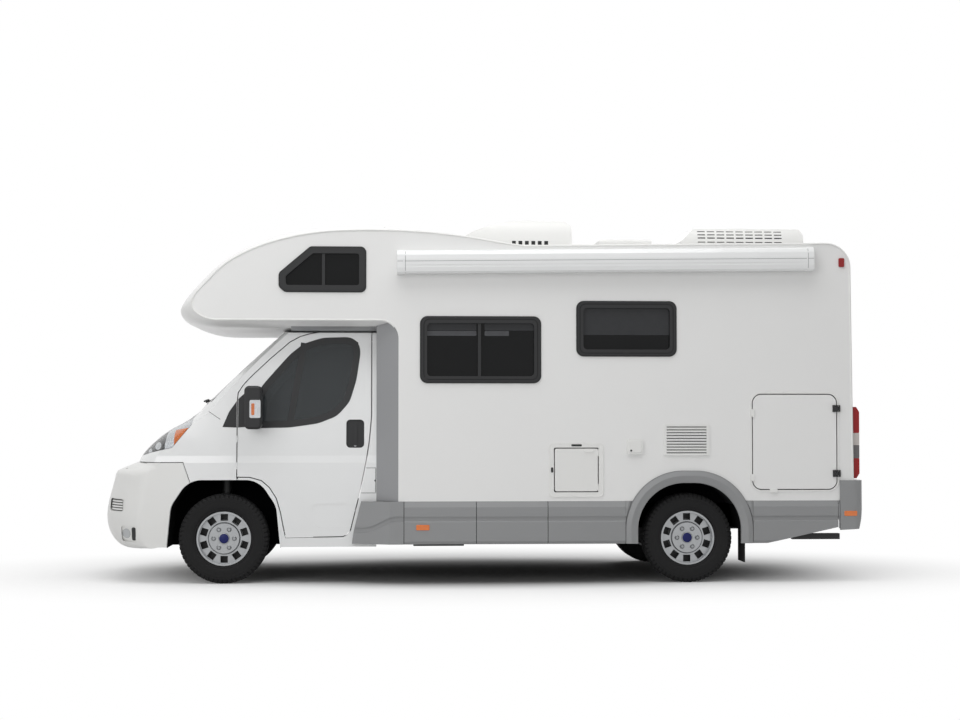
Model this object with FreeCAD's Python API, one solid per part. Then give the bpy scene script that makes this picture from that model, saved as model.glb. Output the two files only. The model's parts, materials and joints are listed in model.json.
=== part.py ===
import FreeCAD, Part
import math
import os

os.makedirs("parts", exist_ok=True)

# Coachbuilt motorhome with a bed over the cab, in millimetres.
# X runs from front to rear, Y from the left side to the right side, Z up from the ground.
# The origin is on the ground below the middle of the vehicle.

# Whole vehicle
wheelbase = 3800.0
front_axle_x = -2110.0
rear_axle_x = front_axle_x + wheelbase
front_half_track = 895.0
rear_half_track = 985.0
body_half_width = 1150.0
body_rear_low_x = 3052.0
rear_lean = 18.0
body_rear_high_x = body_rear_low_x - rear_lean
cab_half_width = 1030.0
running_gap = 8.0
seat_gap = 0.3
panel_seam = 6.0
lamp_seam = 0.8
overrun = 60.0
corner_side_share = 0.45

# Wheels
tyre_radius = 365.0
tyre_width = 215.0
tyre_shoulder = 14.0
bead_radius = 226.0
rim_half_width = 85.0
rim_wall = 7.0
rim_dish = 46.0
rim_lip_length = 9.0
rim_lip_height = 10.0
rim_disc = 12.0
rim_window_count = 10
rim_window_radius = 171.0
rim_window_length = 56.0
rim_window_width = 60.0
hub_radius = 62.0
hub_length = 40.0
stub_radius = 50.0
centre_disc_radius = 123.0
centre_disc_height = 16.0
centre_disc_slope = 10.0
spigot_radius = 32.0
spigot_reach = 32.0

# Steering and axles
kingpin_offset = 150.0
kingpin_radius = 17.0
kingpin_height = 300.0
kingpin_boss_wall = 13.0
knuckle_thickness = 56.0
knuckle_width = 120.0
lower_arm_height = 50.0
lower_arm_width = 120.0
lower_arm_inner = 360.0
front_beam_length = 360.0
strut_radius = 42.0
axle_radius = 55.0
leaf_width = 70.0
leaf_thickness = 30.0
leaf_length = 1250.0
leaf_y = 520.0

# Chassis frame
rail_y = 430.0
rail_width = 70.0
rail_height = 180.0
rail_wall = 6.0
rail_top = 640.0
rail_front_x = -2560.0
front_rail_height = 130.0
rail_rear_setback = 92.0
rail_rear_x = body_rear_low_x - rail_rear_setback
cross_member_width = 80.0
cross_member_height = 120.0
cross_member_shares = (0.33, 0.46, 0.60, 0.86, 0.97)
tow_hole_radius = 7.0
tow_hole_spacing = 100.0
outrigger_thickness = 6.0
outrigger_height = 110.0
outrigger_reach = 1090.0
outrigger_shares = (0.37, 0.50, 0.635, 0.90)

# Engine
engine_length = 520.0
engine_width = 780.0
engine_height = 560.0
engine_front_x = -2700.0
engine_low_z = 420.0
engine_mount_length = 90.0
engine_mount_height = 60.0
exhaust_radius = 30.0
silencer_radius = 62.0
silencer_length = 420.0
silencer_x = -560.0
silencer_y = -760.0
silencer_z = 345.0
exhaust_rear_x = 900.0
exhaust_front_x = -1390.0
exhaust_hanger_setback = 120.0
steady_setback = 455.0
steady_x = body_rear_low_x - steady_setback
steady_length = 400.0
steady_height = 48.0
steady_width = 60.0
steady_y = 900.0
steady_low_z = 338.0
mud_flap_thickness = 10.0
mud_flap_offset = 460.0
mud_flap_x = rear_axle_x + mud_flap_offset
mud_flap_low_z = 165.0
mud_flap_width = 240.0
mud_flap_bracket_width = 60.0
mud_flap_height = 290.0

# Living body
wall = 30.0
floor_top = 690.0
skirt_top = 672.0
body_front_x = -690.0
rear_corner_z = 2590.0
rear_corner_radius = 190.0
roof_front_z = 2757.0
roof_rear_z = 2788.0
nose_x = -2493.0
ramp_end_x = 345.0
alcove_low_z = 2080.0
alcove_high_z = 2937.0
alcove_corner_radius = 150.0
side_wall_low_front_z = 2147.0
alcove_floor_rear_x = -700.0
cap_edge_step = 5.0

# Shares of the alcove's length and height: its outline at the side walls and at the middle
side_line_shares = (
    (1.000, 0.789), (0.928, 0.820), (0.870, 0.853), (0.754, 0.903), (0.639, 0.929), (0.539, 0.933),
    (0.410, 0.911), (0.296, 0.838), (0.183, 0.693), (0.126, 0.565), (0.085, 0.426), (0.050, 0.280),
    (0.046, 0.222), (0.055, 0.157), (0.070, 0.119), (0.093, 0.088), (0.127, 0.078))
middle_line_shares = (
    (1.000, 0.803), (0.928, 0.840), (0.870, 0.877), (0.754, 0.944), (0.639, 0.982), (0.523, 1.000),
    (0.407, 0.979), (0.291, 0.908), (0.175, 0.756), (0.110, 0.613), (0.057, 0.438), (0.012, 0.260),
    (0.000, 0.169), (0.010, 0.088), (0.032, 0.049), (0.061, 0.021), (0.119, 0.000))
cap_width_shares = (-1.0, -0.97, -0.89, -0.73, -0.40, 0.0, 0.40, 0.73, 0.89, 0.97, 1.0)
cap_crown_shares = (0.0, 0.35, 0.72, 0.92, 1.0, 1.0, 1.0, 0.92, 0.72, 0.35, 0.0)

# Openings in the side walls, each as rear x, low z, length, height
window_frame_width = 42.0
window_frame_depth = 16.0
window_frame_step = 12.0
window_divider = 24.0
window_one_divider_share = 0.49
alcove_divider_share = 0.512
window_corner_radius = 62.0
window_pane = 5.0
window_one_x = -516.0
window_one_z = 1632.0
window_one_length = 990.0
window_one_height = 548.0
window_two_x = 762.0
window_two_z = 1852.0
window_two_length = 828.0
window_two_height = 456.0
alcove_window_x = -1663.0
alcove_window_z = 2370.0
alcove_window_length = 710.0
alcove_window_height = 374.0
alcove_window_shares = (
    (0.07, 0.0), (1.0, 0.0), (1.0, 1.0), (0.36, 1.0), (0.0, 0.42), (0.0, 0.12))
alcove_window_corner_radius = 48.0
garage_setback = 848.0
garage_x = body_rear_low_x - garage_setback
garage_z = 752.0
garage_length = 724.0
garage_height = 804.0
garage_corner_radius = 85.0
garage_frame_width = 14.0
toilet_x = 543.0
toilet_z = 710.0
toilet_length = 436.0
toilet_height = 432.0
toilet_corner_radius = 30.0
toilet_frame_width = 34.0
hatch_frame_depth = 6.0
entry_x = -330.0
entry_z = 700.0
entry_length = 620.0
entry_height = 1720.0
entry_corner_radius = 80.0
entry_window_z = 1500.0
entry_window_length = 380.0
entry_window_height = 620.0
hinge_radius = 7.0
hinge_stand_off = 12.0
hinge_length = 56.0
hinge_plate_length = 29.0
hinge_play = 1.0
seam_hinge_radius = 3.7
seam_hinge_depth = 26.0
seam_hinge_bite = 8.0
garage_hinge_shares = (0.14, 0.805)
toilet_hinge_shares = (0.10, 0.76)
entry_hinge_shares = (0.08, 0.48, 0.86)
vent_x = 1480.0
vent_z = 1043.0
vent_length = 378.0
vent_height = 258.0
vent_depth = 12.0
vent_slot_count = 10
inlet_x = 1176.0
inlet_z = 1051.0
inlet_length = 134.0
inlet_height = 128.0
inlet_depth = 20.0

# Rear wheel arches and boxes
arch_inner_half_length = 425.0
arch_inner_top_z = 819.0
arch_trim_width = 100.0
arch_corner_radius = 382.0
arch_flare = 22.0
arch_trim_chamfer = 8.0
wheel_box_wall = 12.0
wheel_box_inner_y = 800.0

# Skirts
skirt_low_z = 325.0
skirt_thickness = 34.0
skirt_proud = 20.0
skirt_chamfer = 24.0
skirt_band_height = 47.0
skirt_groove_low_z = 505.0
skirt_groove_high_z = 548.0
skirt_groove_depth = 9.0
skirt_sweep_end_x = -760.0
skirt_front_gap = 32.0
skirt_seams_x = (-644.0, -56.0, 528.0)
skirt_seam_gap = 5.0
skirt_wave_shares = ((0.0, 0.38), (0.064, 0.383), (0.352, 0.403), (0.563, 0.525), (0.776, 0.637))
skirt_rear_setback = 127.0
skirt_rear_x = body_rear_low_x - skirt_rear_setback
skirt_rear_low_z = 420.0

# Rear bumper and lamps
bumper_reach = 88.0
bumper_rear_x = body_rear_low_x + bumper_reach
bumper_wrap = 112.0
rear_bumper_front_x = body_rear_low_x - bumper_wrap
rear_bumper_low_z = 430.0
rear_bumper_high_z = 838.0
rear_bumper_wall = 30.0
rear_bumper_shares = ((0.0, 0.0), (0.80, 0.02), (0.92, 0.23), (1.0, 0.50), (0.975, 1.0), (0.0, 1.0))
rear_bumper_corner = 90.0
tail_lamp_low_z = 852.0
tail_lamp_high_z = 1441.0
tail_lamp_width = 130.0
tail_lamp_depth = 66.0
tail_lamp_inset = 165.0
tail_lamp_y = body_half_width - tail_lamp_inset
tail_lamp_groove = 3.0
tail_lamp_groove_depth = 4.0
tail_lamp_shares = ((0.0, 0.0), (0.62, 0.0), (1.0, 0.07), (1.0, 0.93), (0.62, 1.0), (0.0, 1.0))
tail_lamp_section_shares = (0.28, 0.465, 0.634)

# Roof units
awning_x = -704.0
awning_rear_gap = 340.0
awning_length = body_rear_low_x - awning_rear_gap - awning_x
awning_rise = 42.0
awning_end_length = 62.0
awning_end_step = 3.0
awning_seam = 4.0
awning_seam_share = 0.34
awning_shares = (
    (0.0, 0.0), (0.80, 0.0), (0.94, 0.08), (1.0, 0.25), (1.0, 0.60), (0.95, 0.80), (0.82, 0.94), (0.60, 1.0), (0.0, 1.0))
awning_z = 2518.0
awning_height = 190.0
awning_depth = 112.0
front_cooler_x = -196.0
front_cooler_length = 1012.0
front_cooler_top_z = 3066.0
front_cooler_half_width = 350.0
front_cooler_shares = ((0.0, 0.30), (0.13, 0.62), (0.30, 0.84), (0.47, 0.955), (0.64, 1.0), (0.94, 1.0))
rear_cooler_setback = 1280.0
rear_cooler_x = body_rear_low_x - rear_cooler_setback
rear_cooler_length = 1072.0
rear_cooler_top_z = 3006.0
rear_cooler_half_width = 360.0
roof_vent_x = 1064.0
roof_vent_length = 468.0
roof_vent_frame_height = 96.0
roof_vent_frame_wall = 24.0
roof_vent_lid_height = 46.0
roof_unit_corner = 60.0
cooler_side_shares = ((1.0, 0.42), (0.97, 0.68), (0.88, 0.90), (0.70, 1.0))
front_slot_count = 6
front_slot_size = 34.0
front_slot_pitch = 56.0
front_slot_share = 0.487
front_slot_height_share = 0.30
slot_depth = 9.0
louvre_rows = 5
louvre_columns = 9
louvre_pitch = 20.0
louvre_height = 11.0
louvre_column_pitch = 84.0
louvre_length = 66.0
louvre_start = 144.0
louvre_low = 20.0

# Cab
cab_rear_x = -868.0
cab_front_x = -3141.0
cab_low_z = 300.0
cab_high_z = 2076.0
cab_skin = 26.0
door_thickness = 70.0
cab_floor_z = 580.0
cab_floor_thickness = 24.0
door_front_x = -1999.0
door_rear_x = -912.0
door_low_z = 378.0
door_high_z = 2058.0
glass_thickness = 5.0
glass_recess = 4.0
front_arch_half_length = 462.0
front_arch_top_z = 845.0
front_arch_corner_radius = 200.0
front_arch_shares = ((1.12, -0.36), (0.926, 0.746), (0.617, 1.0))
cab_hinge_shares = (0.33, 0.46)
surround_reach_share = 0.62
surround_outer_share = 0.885
surround_inner_share = 0.80
arch_lip_width = 16.0
arch_lip_height = 5.0
cab_hinge_stand_off = 3.0
bonnet_hinge_z = 1463.0
bonnet_hinge_y = 408.0
housing_wall = 8.0
housing_inner_y = 560.0
bulkhead_low_x = -2040.0
bulkhead_high_x = -2176.0
bulkhead_step_z = 880.0
bulkhead_top_z = 1432.0

# Shares of the cab's length and height: its outline at the middle and at the sides
bumper_face_middle_shares = (
    (0.106, -0.008), (0.048, 0.000), (0.011, 0.057), (0.000, 0.105), (0.015, 0.248), (0.033, 0.343))
bumper_face_side_shares = (
    (0.239, 0.000), (0.195, 0.006), (0.171, 0.057), (0.162, 0.105), (0.164, 0.248), (0.171, 0.343))
bonnet_middle_shares = (
    (0.119, 0.386), (0.145, 0.440), (0.177, 0.481), (0.239, 0.541), (0.306, 0.583), (0.364, 0.655))
bonnet_side_shares = (
    (0.204, 0.372), (0.222, 0.417), (0.248, 0.456), (0.292, 0.507), (0.341, 0.557), (0.403, 0.608))
screen_middle_shares = ((0.364, 0.655), (0.450, 0.762), (0.563, 0.897), (0.653, 1.000))
screen_side_shares = ((0.403, 0.608), (0.478, 0.709), (0.584, 0.839), (0.708, 0.975))
cab_width_shares = (-1.0, -0.95, -0.85, -0.68, -0.39, 0.0, 0.39, 0.68, 0.85, 0.95, 1.0)
cab_crown_shares = (0.0, 0.25, 0.55, 0.82, 0.97, 1.0, 0.97, 0.82, 0.55, 0.25, 0.0)
cab_section_shares = (
    (0.970, 0.000), (0.990, 0.110), (1.000, 0.280), (1.000, 0.385), (0.988, 0.418), (0.982, 0.545),
    (0.935, 0.790), (0.880, 0.980), (0.862, 1.000))
belt_point = 3
door_foot_points = (14, 17)
door_shares = (
    (0.000, 0.294), (0.000, 0.665), (0.005, 0.700), (0.038, 0.734), (0.090, 0.772), (0.239, 0.865),
    (0.388, 0.949), (0.464, 0.976), (0.538, 0.990), (0.614, 0.998), (1.000, 1.000), (1.000, 0.590),
    (0.984, 0.470), (0.962, 0.374), (0.917, 0.227), (0.880, 0.130), (0.843, 0.033), (0.820, 0.013),
    (0.790, 0.004), (0.364, 0.000), (0.349, 0.044), (0.326, 0.122), (0.295, 0.190), (0.243, 0.243),
    (0.183, 0.277), (0.093, 0.293))
door_window_shares = (
    (0.085, 0.536), (0.110, 0.640), (0.190, 0.730), (0.300, 0.812), (0.400, 0.885), (0.500, 0.937),
    (0.640, 0.966), (0.850, 0.970), (0.900, 0.950), (0.912, 0.910), (0.880, 0.770), (0.830, 0.662),
    (0.740, 0.596), (0.600, 0.560), (0.380, 0.540))
lamp_shares = ((0.135, 0.410), (0.245, 0.600), (0.340, 0.600), (0.338, 0.560), (0.270, 0.455), (0.190, 0.432))
bonnet_rear_x = -2312.0
bonnet_half_width = 700.0
bonnet_front_z = 992.0
screen_low_z = 1480.0
screen_high_z = 2030.0
screen_low_half_width = 860.0
screen_high_half_width = 730.0
wing_top_z = 1400.0
bumper_top_z = 985.0
bumper_rear_low_x = -2375.0
bumper_rear_high_x = -2440.0
bumper_seam_z = 800.0
recess_depth = 15.0
recess_corner = 24.0
fog_recess = (-2950.0, 341.0, 138.0, 131.0)
slot_recess = (-3065.0, 582.0, 139.0, 107.0)
grille_thickness = 6.0
grille_flange = 20.0
grille_half_width = 440.0
grille_heights = ((372.0, 158.0, 5), (716.0, 150.0, 4))
grille_bar = 11.0
door_panel_shares = ((0.551, 0.162), (0.893, 0.162), (0.856, 0.046), (0.585, 0.046))
door_panel_corner = 50.0
door_panel_depth = 3.0
handle_x = -1115.0
handle_z = 1106.0
handle_length = 147.0
handle_height = 231.0
handle_corner = 34.0
handle_depth = 15.0
handle_wall = 3.0
handle_bar = 34.0
fuel_flap_x = -1000.0
fuel_flap_z = 737.0
fuel_flap_length = 128.0
fuel_flap_height = 205.0
fuel_flap_corner = 12.0
fuel_flap_seam = 3.0

# Mirrors and cab furniture
mirror_x = -1925.0
mirror_length = 138.0
mirror_low_z = 1260.0
mirror_height = 348.0
mirror_inner_y = 1090.0
mirror_outer_y = 1300.0
mirror_arm_radius = 13.0
mirror_corner = 40.0
mirror_bevel = 16.0
mirror_glass_inset = 18.0
mirror_glass_depth = 5.0
mirror_arm_shares = (0.12, 0.82)
dash_depth = 300.0
dash_height = 330.0
dash_top_z = 1270.0
dash_front_x = bulkhead_high_x + cab_floor_thickness + seat_gap
wheel_ring_radius = 190.0
wheel_ring_section = 13.0
wheel_boss_radius = 70.0
wheel_spoke_radius = 9.0
wheel_column_length = 240.0
binnacle_height = 70.0
binnacle_width = 380.0
steering_tilt = 32.0
seat_x = -1375.0
seat_y = 500.0
seat_width = 520.0
seat_depth = 500.0
seat_base_height = 220.0
seat_cushion = 130.0
seat_back_height = 660.0
head_rest_height = 170.0
head_rest_width = 260.0
seat_back_thickness = 130.0
seat_lean = 110.0
seat_corner = 44.0
head_rest_thickness = 90.0
head_rest_gap = 30.0


def vector(x, y, z):
    return FreeCAD.Vector(x, y, z)


def plane_point(plane, u, v, at):
    """A point from its two coordinates in a plane and the plane's place."""
    if plane == "xz":
        return vector(u, at, v)
    if plane == "yz":
        return vector(at, u, v)
    return vector(u, v, at)


def curve(points):
    """A smooth edge through points, or a straight one through two."""
    if len(points) == 2:
        return Part.makeLine(points[0], points[1])
    spline = Part.BSplineCurve()
    spline.interpolate(points)
    return spline.toShape()


def outline(pieces, plane, at):
    """A closed wire from runs of points; each run starts where the last one ends."""
    edges = []
    for piece in pieces:
        edges.append(curve([plane_point(plane, u, v, at) for u, v in piece]))
    return Part.Wire(edges)


def rounded(points, radius):
    """A closed list of edges in the XZ plane at y 0: a polygon with round corners."""
    count = len(points)
    starts, edges = [], []
    for i, point in enumerate(points):
        here = vector(point[0], 0, point[1])
        before = vector(points[i - 1][0], 0, points[i - 1][1]) - here
        after = vector(points[(i + 1) % count][0], 0, points[(i + 1) % count][1]) - here
        half = before.getAngle(after) / 2
        back = min(radius / math.tan(half), before.Length * corner_side_share, after.Length * corner_side_share)
        start = here + before.normalize() * back
        end = here + after.normalize() * back
        middle_way = (start + end) / 2 - here
        reach = middle_way.Length
        corner_radius = back * math.tan(half)
        bow = math.hypot(corner_radius, back) - corner_radius
        starts.append((start, here + middle_way * (bow / reach), end))
    for i in range(count):
        start, middle, end = starts[i]
        edges.append(Part.Arc(start, middle, end).toShape())
        following = starts[(i + 1) % count][0]
        if (following - end).Length > 1e-6:
            edges.append(Part.makeLine(end, following))
    return edges


def slab(edges, y_low, y_high):
    """A wire drawn in XZ made a solid from one y to another."""
    face = Part.Face(Part.Wire(edges))
    face.translate(vector(0, y_low, 0))
    return face.extrude(vector(0, y_high - y_low, 0))


def rounded_slab(points, radius, y_low, y_high):
    return slab(rounded(points, radius), y_low, y_high)


def box_points(x, z, length, height, inset=0.0):
    return [(x + inset, z + inset), (x + length - inset, z + inset),
            (x + length - inset, z + height - inset), (x + inset, z + height - inset)]


def plan_slab(points, radius, z_low, z_high):
    """A polygon with round corners, given in x and y, made a solid from one z to another."""
    face = Part.Face(Part.Wire(rounded(points, radius)))
    face.rotate(vector(0, 0, 0), vector(1, 0, 0), -90)
    face.translate(vector(0, 0, z_low))
    return face.extrude(vector(0, 0, z_high - z_low))


def section_prism(points, x_low, x_high):
    """A polygon given in y and z made a solid from one x to another."""
    corners = [vector(x_low, y, z) for y, z in points]
    return Part.Face(Part.makePolygon(corners + corners[:1])).extrude(vector(x_high - x_low, 0, 0))


def polygon_slab(points, y_low, y_high):
    corners = [vector(x, y_low, z) for x, z in points]
    return Part.Face(Part.makePolygon(corners + corners[:1])).extrude(vector(0, y_high - y_low, 0))


def block(x, y, z, length, width, height):
    return Part.makeBox(length, width, height, vector(x, y, z))


def centred_block(x, y, z, length, width, height):
    """A block centred on x and y that stands on z."""
    return block(x - length / 2, y - width / 2, z, length, width, height)


def cylinder_y(x, y, z, radius, length):
    return Part.makeCylinder(radius, length, vector(x, y, z), vector(0, 1, 0))


def cylinder_z(x, y, z, radius, height):
    return Part.makeCylinder(radius, height, vector(x, y, z), vector(0, 0, 1))


def mirrored(shape):
    return shape.mirror(vector(0, 0, 0), vector(0, 1, 0))


def both_sides(shapes):
    return shapes + [mirrored(shape) for shape in shapes]


def place(shares, x, z, length, height):
    return [(x + u * length, z + v * height) for u, v in shares]


def blend(first, second, share):
    return [(a[0] + (b[0] - a[0]) * share, a[1] + (b[1] - a[1]) * share) for a, b in zip(first, second)]


def offset_points(points, distance):
    """Points moved to the left of their own direction of travel."""
    moved = []
    for i, (x, z) in enumerate(points):
        before = points[max(i - 1, 0)]
        after = points[min(i + 1, len(points) - 1)]
        dx, dz = after[0] - before[0], after[1] - before[1]
        size = math.hypot(dx, dz)
        moved.append((x - dz / size * distance, z + dx / size * distance))
    return moved


def fuse(shapes):
    result = shapes[0]
    if len(shapes) > 1:
        result = shapes[0].multiFuse(shapes[1:])
    return result.removeSplitter()


def save(name, solids):
    """Write one node; a cut can leave several solids, and all of them are kept."""
    found = []
    for shape in solids:
        found.extend(shape.Solids)
    shape = found[0] if len(found) == 1 else Part.makeCompound(found)
    shape.exportStep("parts/" + name + ".step")


# Living body
def alcove_side_points():
    return place(side_line_shares, nose_x, alcove_low_z, ramp_end_x - nose_x, alcove_high_z - alcove_low_z)


def alcove_middle_points():
    return place(middle_line_shares, nose_x, alcove_low_z, ramp_end_x - nose_x, alcove_high_z - alcove_low_z)


def rear_wall_x(z):
    share = (z - skirt_top) / (rear_corner_z - skirt_top)
    return body_rear_low_x + (body_rear_high_x - body_rear_low_x) * share


def rear_corner_points():
    """The round from the roof's line into the rear wall's."""
    high_x = body_rear_high_x - rear_corner_radius
    quarter = math.sqrt(0.5)
    middle = (high_x + rear_corner_radius * quarter, rear_corner_z + (roof_rear_z - rear_corner_z) * quarter)
    return [(high_x, roof_rear_z), middle, (body_rear_high_x, rear_corner_z)]


def corner_edge(points, plane_y):
    a, b, c = [vector(x, plane_y, z) for x, z in points]
    return Part.Arc(a, b, c).toShape()


def side_wall_edges(inset):
    """The outline of a side wall, drawn at y 0."""
    nose = offset_points(alcove_side_points(), inset)
    start = nose[0]
    corner = rear_corner_points()
    low_front = nose[-1]
    turn = alcove_corner_radius
    turn_share = 1 - math.sqrt(0.5)
    edges = [curve([vector(x, 0, z) for x, z in nose])]
    edges.append(Part.makeLine(vector(low_front[0], 0, low_front[1]),
                               vector(body_front_x - turn, 0, side_wall_low_front_z)))
    edges.append(Part.Arc(vector(body_front_x - turn, 0, side_wall_low_front_z),
                          vector(body_front_x - turn * turn_share, 0, side_wall_low_front_z - turn * turn_share),
                          vector(body_front_x, 0, side_wall_low_front_z - turn)).toShape())
    edges.append(Part.makeLine(vector(body_front_x, 0, side_wall_low_front_z - turn),
                               vector(body_front_x, 0, skirt_top)))
    edges.append(Part.makeLine(vector(body_front_x, 0, skirt_top), vector(body_rear_low_x, 0, skirt_top)))
    edges.append(Part.makeLine(vector(body_rear_low_x, 0, skirt_top), vector(body_rear_high_x, 0, rear_corner_z)))
    edges.append(corner_edge(corner[::-1], 0))
    edges.append(Part.makeLine(vector(corner[0][0], 0, roof_rear_z), vector(start[0], 0, start[1])))
    return edges


def rear_arch_points(grow):
    half = arch_inner_half_length + grow
    top = arch_inner_top_z + grow
    front, rear = rear_axle_x - half, rear_axle_x + half
    return [(front, -half), (rear, -half), (rear, top), (front, top)]


def rear_arch_slab(grow, y_low, y_high):
    return rounded_slab(rear_arch_points(grow), arch_corner_radius + grow, y_low, y_high)


def window_slab(which, inset, y_low, y_high):
    """The outline of a side window, inset, as a solid between two planes."""
    if which == "one":
        points = box_points(window_one_x, window_one_z, window_one_length, window_one_height, inset)
        radius = window_corner_radius
    elif which == "two":
        points = box_points(window_two_x, window_two_z, window_two_length, window_two_height, inset)
        radius = window_corner_radius
    elif which == "door":
        x = entry_x + (entry_length - entry_window_length) / 2
        points = box_points(x, entry_window_z, entry_window_length, entry_window_height, inset)
        radius = window_corner_radius
    else:
        full = place(alcove_window_shares, alcove_window_x, alcove_window_z,
                     alcove_window_length, alcove_window_height)
        points = inset_polygon(full, inset) if inset else full
        radius = alcove_window_corner_radius
    return rounded_slab(points, radius - inset / 2, y_low, y_high)


def inset_polygon(points, distance):
    """A polygon with every side moved inwards."""
    area = sum(points[i - 1][0] * points[i][1] - points[i][0] * points[i - 1][1] for i in range(len(points)))
    if area < 0:
        points = points[::-1]
    result = []
    count = len(points)
    for i in range(count):
        before, here, after = points[i - 1], points[i], points[(i + 1) % count]
        first = math.atan2(here[1] - before[1], here[0] - before[0])
        second = math.atan2(after[1] - here[1], after[0] - here[0])
        half = (second - first) / 2
        half = (half + math.pi / 2) % math.pi - math.pi / 2
        direction = first + half + math.pi / 2
        reach = distance / math.cos(half)
        result.append((here[0] + reach * math.cos(direction), here[1] + reach * math.sin(direction)))
    return result


def side_wall(openings):
    outer = body_half_width
    shape = slab(side_wall_edges(0.0), -outer, -outer + wall)
    tools = [rear_arch_slab(arch_trim_width / 2, -outer - overrun, -outer + wall + overrun)]
    tools.extend(openings)
    return shape.cut(tools)


def garage_slab(inset, y_low, y_high):
    points = box_points(garage_x, garage_z, garage_length, garage_height, inset)
    return rounded_slab(points, garage_corner_radius - inset, y_low, y_high)


def toilet_slab(inset, y_low, y_high):
    points = box_points(toilet_x, toilet_z, toilet_length, toilet_height, inset)
    return rounded_slab(points, max(toilet_corner_radius - inset, toilet_corner_radius / 2), y_low, y_high)


def entry_slab(inset, y_low, y_high):
    points = box_points(entry_x, entry_z, entry_length, entry_height, inset)
    return rounded_slab(points, entry_corner_radius - inset, y_low, y_high)


def through(maker, *details):
    return maker(*details, -body_half_width - overrun, -body_half_width + wall + overrun)


def window_cuts():
    return [through(window_slab, which, window_frame_width) for which in ("one", "two", "alcove")]


def side_walls():
    toilet_opening = through(toilet_slab, toilet_frame_width - garage_frame_width / 2)
    left = side_wall(window_cuts() + [through(garage_slab, 0.0), toilet_opening])
    right = mirrored(side_wall(window_cuts()[1:] + [through(entry_slab, 0.0)]))
    save("side_wall_left", [left])
    save("side_wall_right", [right])


def strip_section(points, thickness, end_run, at):
    """The closed section of a bent sheet: an outer line, its inner line and two ends."""
    outer = points
    inner = offset_points(points, thickness)
    tail_out = (end_run, outer[-1][1])
    tail_in = (end_run, outer[-1][1] + thickness)
    pieces = [outer, [outer[-1], tail_out], [tail_out, tail_in], [tail_in, inner[-1]], inner[::-1], [inner[0], outer[0]]]
    return outline(pieces, "xz", at)


def filled_section(points, end_run, at):
    """The whole area inside the outer line of a bent sheet."""
    tail_low = (end_run, points[-1][1])
    tail_high = (end_run, points[0][1] - wall)
    below = (points[0][0], points[0][1] - wall)
    return outline([points, [points[-1], tail_low], [tail_low, tail_high], [tail_high, below], [below, points[0]]],
                   "xz", at)


def cap_loft(filled):
    """The cap over the cab as a sheet, or as the full form inside its outer face."""
    side = offset_points(alcove_side_points(), cap_edge_step)
    middle = alcove_middle_points()
    half = body_half_width - wall
    sections = []
    for place_share, crown_share in zip(cap_width_shares, cap_crown_shares):
        points = blend(side, middle, crown_share)
        if filled:
            sections.append(filled_section(points, alcove_floor_rear_x, place_share * half))
        else:
            sections.append(strip_section(points, wall, alcove_floor_rear_x, place_share * half))
    return Part.makeLoft(sections, True, False)


def alcove_cap():
    save("alcove_cap", [cap_loft(False)])


def roof_panel():
    """The roof behind the ramp, with its round corner down to the rear wall."""
    half = body_half_width - wall
    front = (ramp_end_x, roof_front_z - cap_edge_step)
    inner_radius_share = 1 - wall / rear_corner_radius
    corner = [(x, z - cap_edge_step) for x, z in rear_corner_points()]
    centre = (corner[0][0], corner[2][1])
    inner = [(centre[0] + (x - centre[0]) * inner_radius_share, centre[1] + (z - centre[1]) * inner_radius_share)
             for x, z in corner]
    inner[0] = (corner[0][0], corner[0][1] - wall)
    inner[2] = (corner[2][0] - wall, corner[2][1])
    edges = [Part.makeLine(vector(front[0], 0, front[1]), vector(corner[0][0], 0, corner[0][1]))]
    edges.append(corner_edge(corner, 0))
    edges.append(Part.makeLine(vector(corner[2][0], 0, corner[2][1]), vector(inner[2][0], 0, inner[2][1])))
    edges.append(corner_edge(inner[::-1], 0))
    edges.append(Part.makeLine(vector(inner[0][0], 0, inner[0][1]), vector(front[0], 0, front[1] - wall)))
    edges.append(Part.makeLine(vector(front[0], 0, front[1] - wall), vector(front[0], 0, front[1])))
    shape = slab(edges, -half, half)
    x = roof_vent_x + roof_vent_frame_wall
    length = roof_vent_length - 2 * roof_vent_frame_wall
    hole = centred_block(x + length / 2, 0, roof_front_z - 2 * overrun, length, length, 4 * overrun)
    save("roof_panel", [shape.cut(hole)])


def rear_wall():
    half = body_half_width - wall
    low = floor_top
    points = [(rear_wall_x(low), low), (body_rear_high_x, rear_corner_z - cap_edge_step),
              (body_rear_high_x - wall, rear_corner_z - cap_edge_step), (rear_wall_x(low) - wall, low)]
    save("rear_wall", [polygon_slab(points, -half, half)])


def floor_panel():
    """The floor with an open box over each rear wheel."""
    half = body_half_width - wall
    low = rail_top
    length = body_rear_low_x - wall - body_front_x
    base = block(body_front_x, -half, low, length, 2 * half, floor_top - low)
    housings, holes = [], []
    for side in (-1, 1):
        low_y, high_y = sorted((side * wheel_box_inner_y, side * half))
        housings.append(rear_arch_slab(wheel_box_wall, low_y, high_y))
        inner_low, inner_high = sorted((side * (wheel_box_inner_y + wheel_box_wall), side * (half + overrun)))
        holes.append(rear_arch_slab(0.0, inner_low, inner_high))
    keep = block(body_front_x, -half, low, length, 2 * half, arch_inner_top_z)
    shape = base.fuse([piece.common(keep) for piece in housings]).cut(holes)
    save("floor_panel", [shape.removeSplitter()])


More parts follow.
